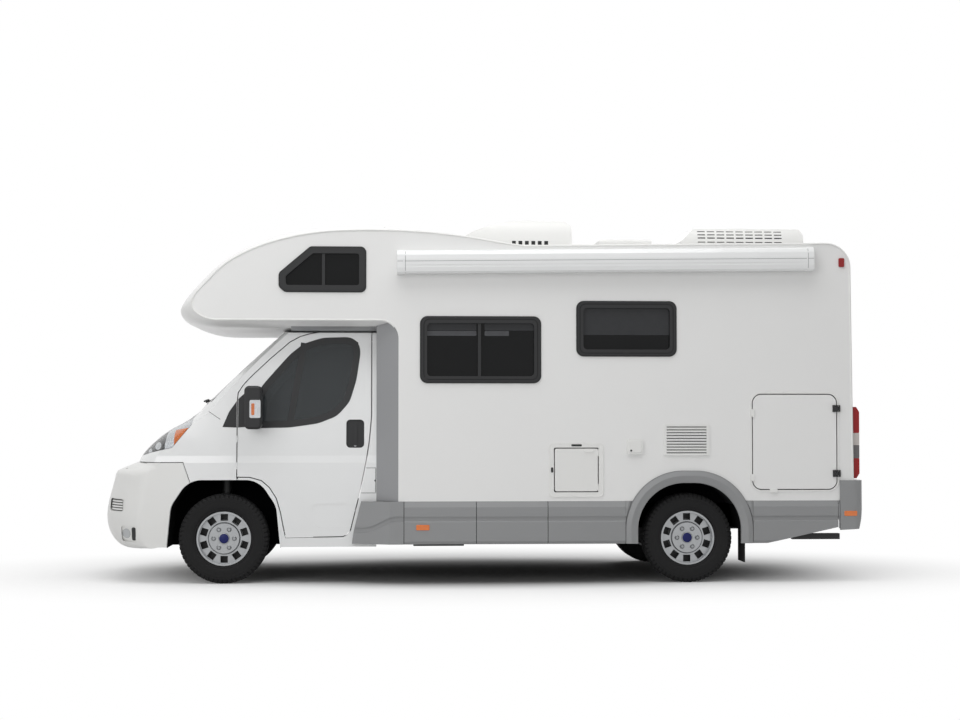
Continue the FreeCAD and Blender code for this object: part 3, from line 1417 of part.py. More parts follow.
def mirror_unit():
    """A housing with bevelled ends and a pocket for its glass, on two arms."""
    points = box_points(mirror_x, mirror_low_z, mirror_length, mirror_height)
    shape = rounded_slab(points, mirror_corner, -mirror_outer_y, -mirror_inner_y)
    ends = [edge for edge in shape.Edges if edge.BoundBox.YLength < seat_gap]
    shape = shape.makeChamfer(mirror_bevel, ends)
    glass = block(mirror_x + mirror_length - mirror_glass_depth, -mirror_outer_y + mirror_bevel + mirror_glass_inset,
                  mirror_low_z + mirror_corner, mirror_glass_depth,
                  mirror_outer_y - mirror_inner_y - 2 * (mirror_bevel + mirror_glass_inset),
                  mirror_height - 2 * mirror_corner)
    arms = []
    for share in mirror_arm_shares:
        arm = cylinder_y(mirror_x + mirror_length / 2, -mirror_inner_y - mirror_arm_radius,
                         mirror_low_z + share * mirror_height, mirror_arm_radius,
                         mirror_inner_y + mirror_arm_radius - cab_half_width + door_thickness)
        arms.append(arm)
    skin = cab_form(-seat_gap, -seat_gap)
    return fuse([shape.cut(glass)] + [arm.cut(skin) for arm in arms])


def mirrors():
    unit = mirror_unit()
    save("mirror_left", [unit])
    save("mirror_right", [mirrored(unit)])


def dashboard():
    """The dashboard with a binnacle, and the steering wheel on its column."""
    half = cab_half_width - door_thickness - running_gap - overrun
    low = dash_top_z - dash_height
    points = [(dash_front_x, low), (dash_front_x + dash_depth, low), (dash_front_x + dash_depth, dash_top_z - overrun),
              (dash_front_x + dash_depth - overrun, dash_top_z), (dash_front_x, dash_top_z)]
    shape = polygon_slab(points, -half, half)
    hood = rounded_slab(box_points(dash_front_x + dash_depth / 2, dash_top_z - overrun, dash_depth / 2 - overrun,
                                   overrun + binnacle_height), overrun / 2, -seat_y - binnacle_width / 2,
                        -seat_y + binnacle_width / 2)
    centre = vector(dash_front_x + dash_depth + 2 * overrun, -seat_y, dash_top_z - overrun)
    tilt = math.radians(steering_tilt)
    axis = vector(math.cos(tilt), 0, math.sin(tilt))
    section = wheel_ring_section
    start = centre - axis * section
    ring = Part.makeCylinder(wheel_ring_radius + section, 2 * section, start, axis)
    ring = ring.cut(Part.makeCylinder(wheel_ring_radius - section, 2 * section, start, axis))
    boss = Part.makeCylinder(wheel_boss_radius, 2 * section, start, axis)
    column = Part.makeCylinder(2 * section, wheel_column_length, centre - axis * wheel_column_length, axis)
    across = vector(0, 1, 0)
    upward = axis.cross(across)
    spokes = []
    for direction in (across, across * -1, upward * (-1 if upward.z > 0 else 1)):
        spokes.append(Part.makeCylinder(wheel_spoke_radius, wheel_ring_radius, centre, direction))
    save("dashboard", [fuse([shape, hood, column, ring, boss] + spokes)])


def cab_seats():
    """Two seats: a box base, a cushion, a back that leans and a head rest."""
    solids = []
    low = cab_floor_z + cab_floor_thickness + seat_gap
    top = low + seat_base_height
    front = seat_x - seat_depth / 2
    rear = seat_x + seat_depth / 2
    slope = seat_lean / seat_back_height
    back = [(rear - seat_back_thickness, top), (rear, top), (rear + seat_lean, top + seat_back_height),
            (rear + seat_lean - seat_back_thickness, top + seat_back_height)]
    rest_z = top + seat_back_height - head_rest_gap
    rest_x = rear + seat_lean - head_rest_thickness - head_rest_gap * slope
    shift = slope * head_rest_height
    rest = [(rest_x, rest_z), (rest_x + head_rest_thickness, rest_z),
            (rest_x + head_rest_thickness + shift, rest_z + head_rest_height), (rest_x + shift, rest_z + head_rest_height)]
    for side in (-1, 1):
        y = side * seat_y
        half = seat_width / 2
        base = centred_block(seat_x, y, low, seat_depth - 2 * overrun, seat_width - 2 * overrun, seat_base_height)
        cushion = rounded_slab(box_points(front, top, seat_depth, seat_cushion), seat_corner, y - half, y + half)
        leaf = rounded_slab(back, seat_corner, y - half, y + half)
        head = rounded_slab(rest, seat_corner / 2, y - head_rest_width / 2, y + head_rest_width / 2)
        solids.append(fuse([base, cushion, leaf, head]))
    save("cab_seats", solids)


# Running gear
def tyre(x, y):
    half = tyre_width / 2
    side = [(bead_radius, -half), (tyre_radius - tyre_shoulder, -half), (tyre_radius, -half + tyre_shoulder)]
    ring = side + [(r, -v) for r, v in side[::-1]]
    corners = [vector(x + r, y + v, tyre_radius) for r, v in ring]
    face = Part.Face(Part.makePolygon(corners + corners[:1]))
    return face.revolve(vector(x, y, tyre_radius), vector(0, 1, 0), 360)


def rim(x, y, side):
    """A turned wheel; side is -1 on the left, where the outside faces -Y. Distances v run outwards from its middle."""
    half = rim_half_width
    seat = bead_radius - seat_gap
    inner = bead_radius - 2 * rim_wall
    face_v = half - rim_dish
    back_v = face_v - rim_disc
    slope = centre_disc_radius + centre_disc_slope
    profile = [(0, back_v - hub_length), (hub_radius, back_v - hub_length), (hub_radius, back_v), (inner, back_v),
               (inner, -half), (seat, -half), (seat, half - rim_lip_length), (seat - rim_lip_height / 2, half),
               (inner - rim_lip_height / 2, half), (inner, half - rim_lip_length), (inner, face_v), (slope, face_v),
               (centre_disc_radius, face_v + centre_disc_height), (0, face_v + centre_disc_height)]
    corners = [vector(x + r, y + side * v, tyre_radius) for r, v in profile]
    wheel = Part.Face(Part.makePolygon(corners + corners[:1])).revolve(vector(x, y, tyre_radius), vector(0, 1, 0), 360)
    windows = []
    for i in range(rim_window_count):
        angle = 360.0 / rim_window_count * (i + 0.5)
        cutter = block(x + rim_window_radius - rim_window_length / 2, y - half, tyre_radius - rim_window_width / 2,
                       rim_window_length, 2 * half, rim_window_width)
        cutter.rotate(vector(x, y, tyre_radius), vector(0, 1, 0), angle)
        windows.append(cutter)
    end_v = back_v - hub_length + spigot_reach + seat_gap
    bore_low, bore_high = sorted((y + side * (back_v - hub_length - overrun), y + side * end_v))
    bore = cylinder_y(x, bore_low, tyre_radius, spigot_radius + seat_gap, bore_high - bore_low)
    return wheel.cut(windows + [bore])


def wheels():
    spots = (("front_left", front_axle_x, -front_half_track), ("front_right", front_axle_x, front_half_track),
             ("rear_left", rear_axle_x, -rear_half_track), ("rear_right", rear_axle_x, rear_half_track))
    for name, x, y in spots:
        side = -1 if y < 0 else 1
        save("tyre_" + name, [tyre(x, y)])
        save("rim_" + name, [rim(x, y, side)])


def hub_face_y(half_track):
    """How far out the inner face of a wheel's hub lies."""
    return half_track + rim_half_width - rim_dish - rim_disc - hub_length


def knuckle():
    """The left steering knuckle: an upright with a stub for the hub and a pin at each end."""
    y = front_half_track - kingpin_offset
    z = tyre_radius
    upright = centred_block(front_axle_x, -y, z - kingpin_height / 2, knuckle_width, knuckle_thickness, kingpin_height)
    stub_length = hub_face_y(front_half_track) - y - running_gap
    stub = cylinder_y(front_axle_x, -y - stub_length, z, stub_radius, stub_length)
    spigot = cylinder_y(front_axle_x, -hub_face_y(front_half_track) - spigot_reach, z, spigot_radius,
                        spigot_reach + 2 * running_gap)
    pin = cylinder_z(front_axle_x, -y, z - kingpin_height / 2 - lower_arm_height, kingpin_radius,
                     kingpin_height + 2 * lower_arm_height)
    return fuse([upright, stub, spigot, pin])


def knuckles():
    piece = knuckle()
    save("knuckle_left", [piece])
    save("knuckle_right", [mirrored(piece)])


def front_subframe():
    """Cross member, lower arms, strut feet and struts; the knuckle's pins turn in the arms and the feet."""
    y = front_half_track - kingpin_offset
    low = tyre_radius - kingpin_height / 2 - running_gap - lower_arm_height
    top = tyre_radius + kingpin_height / 2 + running_gap
    boss_radius = kingpin_radius + kingpin_boss_wall
    beam = centred_block(front_axle_x, 0, low, front_beam_length, 2 * lower_arm_inner, 2 * lower_arm_height)
    joined, feet = [beam], []
    for side in (-1, 1):
        pin_hole = cylinder_z(front_axle_x, side * y, low - overrun, kingpin_radius + seat_gap,
                              top - low + lower_arm_height + 2 * overrun)
        inner, outer = sorted((side * (lower_arm_inner - overrun), side * y))
        arm = block(front_axle_x - lower_arm_width / 2, inner, low, lower_arm_width, outer - inner, lower_arm_height)
        boss = cylinder_z(front_axle_x, side * y, low, boss_radius, lower_arm_height)
        post = centred_block(front_axle_x, side * rail_y, low, lower_arm_width, rail_width,
                             top - front_rail_height - low - 2 * seat_gap)
        joined.append(fuse([arm, boss, post]).cut(pin_hole))
        inner, outer = sorted((side * (rail_y - rail_width / 2), side * y))
        foot = block(front_axle_x - lower_arm_width / 2, inner, top, lower_arm_width, outer - inner, lower_arm_height)
        boss = cylinder_z(front_axle_x, side * y, top, boss_radius, lower_arm_height)
        strut = cylinder_z(front_axle_x, side * (y - 2 * strut_radius), top, strut_radius,
                           front_arch_top_z - seat_gap - top)
        feet.append(fuse([foot, boss, strut]).cut(pin_hole))
    save("front_subframe", [fuse(joined)] + feet)


def rear_axle():
    y = hub_face_y(rear_half_track) - running_gap
    beam = cylinder_y(rear_axle_x, -y, tyre_radius, axle_radius, 2 * y)
    pin_end = hub_face_y(rear_half_track) + spigot_reach
    beam = beam.fuse(cylinder_y(rear_axle_x, -pin_end, tyre_radius, spigot_radius, 2 * pin_end))
    springs = []
    for side in (-1, 1):
        springs.append(centred_block(rear_axle_x, side * leaf_y, tyre_radius + axle_radius - leaf_thickness / 2,
                                     leaf_length, leaf_width, leaf_thickness))
        for end in (-1, 1):
            springs.append(centred_block(rear_axle_x + end * (leaf_length - leaf_width) / 2, side * leaf_y, tyre_radius + axle_radius,
                                         leaf_width, leaf_width, rail_top - tyre_radius - axle_radius - seat_gap))
    save("rear_axle", [fuse([beam] + springs)])


def channel(side, x, length, low, height):
    """A rail open to the middle of the vehicle."""
    outer = block(x, side * rail_y - rail_width / 2, low, length, rail_width, height)
    open_low = side * rail_y - rail_width / 2 - (overrun if side > 0 else -rail_wall)
    hollow = block(x - overrun, open_low, low + rail_wall, length + 2 * overrun, rail_width - rail_wall + overrun,
                   height - 2 * rail_wall)
    return outer.cut(hollow)


def chassis_frame():
    low = rail_top - rail_height
    length = rail_rear_x - rail_front_x
    front_top = tyre_radius + kingpin_height / 2 + running_gap - seat_gap
    split_x = cab_rear_x + overrun
    solids = []
    for side in (-1, 1):
        solids.append(channel(side, rail_front_x, split_x + overrun - rail_front_x, front_top - front_rail_height,
                              front_rail_height))
        solids.append(channel(side, split_x, rail_rear_x - split_x, low, rail_height - seat_gap))
    width = 2 * rail_y - rail_width + 2 * rail_wall
    for share in cross_member_shares:
        solids.append(centred_block(rail_front_x + share * length, 0, low + rail_wall, cross_member_width, width,
                                    cross_member_height))
    inner = rail_y + rail_width / 2 - rail_wall
    for share in outrigger_shares:
        arm = block(rail_front_x + share * length, inner, rail_top - outrigger_height, outrigger_thickness,
                    outrigger_reach - inner, outrigger_height - seat_gap)
        solids.extend(both_sides([arm]))
    frame = fuse(solids)
    holes = []
    last_hole_x = rail_rear_x - tow_hole_spacing / 2
    for x in (last_hole_x, last_hole_x - tow_hole_spacing):
        holes.append(cylinder_y(x, -rail_y - rail_width, rail_top - rail_height / 2, tow_hole_radius,
                                2 * (rail_y + rail_width)))
    save("chassis_frame", [frame.cut(holes)])


def corner_steadies():
    """Two folded legs, each hung from a bracket under the floor."""
    leg = centred_block(steady_x + steady_length / 2, -steady_y, steady_low_z, steady_length, steady_width, steady_height)
    bracket = centred_block(steady_x + steady_width, -steady_y, steady_low_z, 2 * steady_width, steady_width,
                            rail_top - seat_gap - steady_low_z)
    save("corner_steadies", both_sides([fuse([leg, bracket])]))


def exhaust_system():
    """A pipe from under the cab into a silencer and on to an outlet, hung from the floor."""
    along = vector(1, 0, 0)
    pipe = Part.makeCylinder(exhaust_radius, exhaust_rear_x - exhaust_front_x,
                             vector(exhaust_front_x, silencer_y, silencer_z), along)
    can = Part.makeCylinder(silencer_radius, silencer_length, vector(silencer_x, silencer_y, silencer_z), along)
    hangers = []
    for x in (silencer_x + silencer_length / 2, exhaust_rear_x - exhaust_hanger_setback):
        hangers.append(centred_block(x, silencer_y, silencer_z, exhaust_radius, exhaust_radius / 2,
                                     rail_top - seat_gap - silencer_z))
    pipe = pipe.fuse([can] + hangers)
    save("exhaust_system", [pipe])


def mud_flaps():
    y = rear_half_track - mud_flap_width / 2
    flap = block(mud_flap_x, -y - mud_flap_width, mud_flap_low_z, mud_flap_thickness, mud_flap_width, mud_flap_height)
    middle = mud_flap_low_z + mud_flap_height / 2
    bracket = block(mud_flap_x, -y - mud_flap_width / 2, middle, 2 * mud_flap_thickness, mud_flap_bracket_width,
                    rail_top - seat_gap - middle)
    save("mud_flaps", both_sides([flap.fuse(bracket)]))


def engine_block():
    """The engine and gearbox as one block, with a mount on each rail."""
    body = block(engine_front_x, -engine_width / 2, engine_low_z, engine_length, engine_width, engine_height)
    mount_low = tyre_radius + kingpin_height / 2 + running_gap
    reach = rail_y + rail_width / 2
    middle_x = (rail_front_x + engine_front_x + engine_length) / 2
    mount = centred_block(middle_x, 0, mount_low, engine_mount_length, 2 * reach, engine_mount_height)
    save("engine_block", [fuse([body, mount])])


def main():
    side_walls()
    alcove_cap()
    roof_panel()
    rear_wall()
    floor_panel()
    window_set()
    save("wall_fittings", [garage_door(), toilet_door(), entry_door()] + service_fittings())
    cab_surround()
    side_skirts()
    rear_arch_trims()
    rear_bumper()
    rear_lamps()
    awning_case()
    save("air_conditioners", [front_cooler(), rear_cooler()])
    roof_vent()
    cab()
    mirrors()
    dashboard()
    cab_seats()
    wheels()
    knuckles()
    front_subframe()
    rear_axle()
    chassis_frame()
    corner_steadies()
    exhaust_system()
    mud_flaps()
    engine_block()


main()
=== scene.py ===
"""Looks for a coachbuilt motorhome: finishes, glass, tyres, trim and a plain studio."""

import json
import math

import bmesh
import bpy
import numpy as np
from mathutils.bvhtree import BVHTree
from mathutils.kdtree import KDTree
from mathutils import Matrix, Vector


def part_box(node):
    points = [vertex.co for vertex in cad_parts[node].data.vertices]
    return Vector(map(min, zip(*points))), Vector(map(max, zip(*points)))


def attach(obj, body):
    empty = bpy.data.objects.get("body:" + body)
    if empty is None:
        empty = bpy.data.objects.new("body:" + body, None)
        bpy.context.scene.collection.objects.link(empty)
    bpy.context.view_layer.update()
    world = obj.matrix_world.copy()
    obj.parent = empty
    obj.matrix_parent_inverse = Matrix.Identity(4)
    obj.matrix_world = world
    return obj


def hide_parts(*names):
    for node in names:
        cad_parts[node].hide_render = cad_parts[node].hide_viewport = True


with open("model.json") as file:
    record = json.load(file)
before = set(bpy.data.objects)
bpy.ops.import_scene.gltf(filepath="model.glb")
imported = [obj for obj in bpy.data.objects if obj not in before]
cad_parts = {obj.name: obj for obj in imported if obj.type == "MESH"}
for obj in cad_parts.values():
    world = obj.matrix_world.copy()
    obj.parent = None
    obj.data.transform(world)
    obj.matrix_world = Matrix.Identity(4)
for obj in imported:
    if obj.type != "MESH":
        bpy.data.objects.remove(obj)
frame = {"nodes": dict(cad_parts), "record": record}

bl_info = {
    "name": "Motorhome looks",
    "version": (1, 0, 0),
    "blender": (4, 5, 0),
    "location": "3D View > Sidebar > Motorhome",
    "description": "Finishes and trim for a coachbuilt motorhome with a bed over its cab",
    "category": "Object",
}

MM = 0.001
SIDES = ((-1, "left"), (1, "right"))
NODES = frame["nodes"]


# Properties
def colour_property(name, description, code):
    """A colour setting whose default is an sRGB hex value."""
    return bpy.props.FloatVectorProperty(name=name, description=description, subtype="COLOR", size=3,
                                         min=0.0, max=1.0, default=linear(code))


def length_property(name, description, value_mm):
    """A length setting whose default is given in millimetres."""
    return bpy.props.FloatProperty(name=name, description=description, default=value_mm * MM, unit="LENGTH")


def linear(code):
    """A hex sRGB colour as linear red, green and blue: the standard sRGB curve undone for each channel."""
    parts = [int(code[i:i + 2], 16) / 255 for i in (1, 3, 5)]
    return tuple(c / 12.92 if c <= 0.04045 else ((c + 0.055) / 1.055) ** 2.4 for c in parts)


class MotorhomeColours(bpy.types.PropertyGroup):
    """Colours of the motorhome's finishes."""
    paint: colour_property("Cab paint", "Solid white enamel of the cab", "#E9EAEA")
    gelcoat: colour_property("Gelcoat", "White gelcoat of the living body", "#E9E9E8")
    plastic: colour_property("White plastic", "Moulded white parts on walls and roof", "#E6E6E4")
    skirt: colour_property("Skirt grey", "Grey moulded skirts, arches and rear bumper", "#8D8E8F")
    surround: colour_property("Surround grey", "Silver grey paint of the cab surround", "#909193")
    trim: colour_property("Black trim", "Moulded black plastic", "#121315")
    tint: colour_property("Window tint", "Smoked acrylic of the living body's windows", "#131415")
    amber: colour_property("Amber lens", "Indicator and side marker lenses", "#E8751A")
    red: colour_property("Red lens", "Tail lamp lenses", "#9A0A10")
    wheel: colour_property("Wheel paint", "Silver paint of the wheels", "#A3A5A7")
    cap: colour_property("Wheel cap", "Dark blue centre cap", "#141C5C")
    rubber: colour_property("Tyre rubber", "Tyre and flap rubber", "#0F0F10")
    seat: colour_property("Seat cloth", "Cab seat fabric", "#3A3C40")


class MotorhomeSizes(bpy.types.PropertyGroup):
    """Sizes of the trim that a user would change."""
    tread_depth: length_property("Tread depth", "Depth of the tyre's grooves", 8.0)
    bolt_circle: length_property("Bolt circle", "Radius of the wheel bolts' circle", 84.0)


class MotorhomeStudio(bpy.types.PropertyGroup):
    """Camera and light."""
    camera_place: bpy.props.FloatVectorProperty(
        name="Camera place", description="Where the photograph was taken from", subtype="TRANSLATION", size=3,
        default=(-0.8359, -15.2288, 1.3695))
    camera_yaw: bpy.props.FloatProperty(name="Camera yaw", description="Turn of the view towards the rear",
                                        subtype="ANGLE", default=-0.05745)
    camera_pitch: bpy.props.FloatProperty(name="Camera pitch", description="Tilt of the view upwards",
                                          subtype="ANGLE", default=0.0321)
    lens: bpy.props.FloatProperty(name="Lens", description="Focal length in millimetres on a 36 mm frame",
                                  default=64.89)
    key_power: bpy.props.FloatProperty(name="Key light", description="Power of the overhead light", default=460.0,
                                       unit="POWER")
    fill_power: bpy.props.FloatProperty(name="Fill lights", description="Power of the side and rear lights",
                                        default=375.0, unit="POWER")
    sky: bpy.props.FloatProperty(name="Sky", description="Even light from all round", default=0.42)


# Shader nodes
def add(tree, kind, settings=(), **links):
    """One shader node: settings by attribute or socket name, links by input name, or i and the input's number."""
    made = tree.nodes.new(kind)
    for key, value in dict(settings).items():
        if hasattr(made, key):
            setattr(made, key, value)
        else:
            made.inputs[key].default_value = value
    for key, source in links.items():
        numbered = key[0] == "i" and key[1:].isdigit()
        tree.links.new(source, made.inputs[int(key[1:]) if numbered else key.replace("_", " ")])
    return made


def together(tree, operation, first, second):
    """A Math node's result for two values; the second may be a socket or a number."""
    made = add(tree, "ShaderNodeMath", {"operation": operation}, i0=first)
    if isinstance(second, float):
        made.inputs[1].default_value = second
    else:
        tree.links.new(second, made.inputs[1])
    return made.outputs[0]


def painted(tree, shader, mask, before, after):
    """One colour, or the colour a mask of 1 puts over it, as the shader's base colour; before may be a socket."""
    mix = add(tree, "ShaderNodeMix", {"data_type": "RGBA"}, Factor=mask)
    if hasattr(before, "links"):
        tree.links.new(before, mix.inputs[6])
    else:
        mix.inputs[6].default_value = (*before, 1.0)
    mix.inputs[7].default_value = (*after, 1.0)
    tree.links.new(mix.outputs[2], shader.inputs["Base Color"])
    return mix.outputs[2]


def bumped(tree, shader, height, strength, distance):
    """A bump on the shader's normal: a height of 1 stands this far out, in metres."""
    bump = add(tree, "ShaderNodeBump", {"Strength": strength, "Distance": distance}, Height=height)
    tree.links.new(bump.outputs["Normal"], shader.inputs["Normal"])


def seen_rays(tree):
    """1 for camera, glossy and transmission rays, 0 for those that only carry light."""
    path = add(tree, "ShaderNodeLightPath").outputs
    seen = together(tree, "MAXIMUM", path["Is Camera Ray"], path["Is Glossy Ray"])
    return together(tree, "MAXIMUM", seen, path["Is Transmission Ray"])


def material(name, surface, pattern=None):
    """A Principled material; surface holds the shader's own sockets, pattern adds what varies over the surface."""
    made = bpy.data.materials.new(name)
    made.use_nodes = True
    tree = made.node_tree
    shader = tree.nodes["Principled BSDF"]
    for key, value in surface.items():
        if key == "Base Color" and len(value) == 3:
            value = (*value, 1.0)
        shader.inputs[key].default_value = value
    if pattern:
        pattern(tree, shader)
    return made


def place_of(tree):
    """Where a point lies on the piece, in metres."""
    return tree.nodes.new("ShaderNodeTexCoord").outputs["Object"]


def noise(tree, place, size_mm, detail):
    """A noise whose features are about this size: 1000 / size waves a metre."""
    settings = {"Scale": 1000.0 / size_mm, "Detail": detail}
    return add(tree, "ShaderNodeTexNoise", settings, Vector=place).outputs["Fac"]


def grained(colour, size_mm, height_mm, shade=0.0, broad_mm=900.0):
    """A fine moulded or sprayed grain as bump, with a slow drift of shade over the surface."""
    def pattern(tree, shader):
        place = place_of(tree)
        bumped(tree, shader, noise(tree, place, size_mm, 3.0), 1.0, height_mm * MM)
        if shade:
            dark = tuple(c * (1 - shade) for c in colour)
            painted(tree, shader, noise(tree, place, broad_mm, 2.0), colour, dark)
    return pattern


BEZEL_REAR, WEDGE_FRONT = -2.587, -2.512    # places along X of the headlamp's parts
WEDGE_RISE, WEDGE_LEVEL = 0.17, 1.678       # the amber wedge's upper edge: z = rise x + level
BOWLS = (((-2.650, 1.120), 0.030), ((-2.722, 1.078), 0.019))     # centre and radius of the reflectors


def headlamp_zones(black, chrome, amber):
    """A black bezel in front with two round reflectors in it, chrome behind it, and an amber wedge at the rear.

    A bowl is where (x - cx)^2 + (z - cz)^2 is under its radius squared; bare metal is 1 - bezel - wedge.
    """
    def pattern(tree, shader):
        place = place_of(tree)
        parts = add(tree, "ShaderNodeSeparateXYZ", i0=place)
        x, z = parts.outputs["X"], parts.outputs["Z"]
        bezel = together(tree, "LESS_THAN", x, BEZEL_REAR)
        for centre, radius in BOWLS:
            squares = []
            for value, middle in zip((x, z), centre):
                away = together(tree, "SUBTRACT", value, middle)
                squares.append(together(tree, "MULTIPLY", away, away))
            bowl = together(tree, "LESS_THAN", together(tree, "ADD", *squares), radius ** 2)
            bezel = together(tree, "MULTIPLY", bezel, together(tree, "SUBTRACT", bezel, bowl))
        line = together(tree, "ADD", together(tree, "MULTIPLY", x, WEDGE_RISE), WEDGE_LEVEL)
        wedge = together(tree, "MULTIPLY", together(tree, "LESS_THAN", z, line),
                         together(tree, "GREATER_THAN", x, WEDGE_FRONT))
        shown = painted(tree, shader, bezel, chrome, black)
        painted(tree, shader, wedge, shown, amber)
        steps = add(tree, "ShaderNodeTexWave", {"Scale": 22.0, "Distortion": 6.0, "Detail": 2.0}, Vector=place)
        bumped(tree, shader, steps.outputs["Fac"], 0.8, 0.004)
        covered = together(tree, "MULTIPLY", together(tree, "ADD", bezel, wedge), -1.0)
        tree.links.new(together(tree, "ADD", covered, 1.0), shader.inputs["Metallic"])
    return pattern


RIDGE_PITCH = 0.004                         # the lamp lens's ridges, in metres
LAMP_STEPS = (1.2255, 1.1260, 1.0170)       # heights at which the tail lamp's colour changes


def lamp_sections(red, clear, grey):
    """Red, grey, clear and red again from the foot of the tail lamp to its head."""
    def pattern(tree, shader):
        z = add(tree, "ShaderNodeSeparateXYZ", i0=place_of(tree)).outputs["Z"]
        bumped(tree, shader, together(tree, "PINGPONG", z, RIDGE_PITCH), 0.5, 0.002)
        shown = red
        for height, colour in zip(LAMP_STEPS, (clear, grey, red)):
            shown = painted(tree, shader, together(tree, "LESS_THAN", z, height), shown, colour)
    return pattern


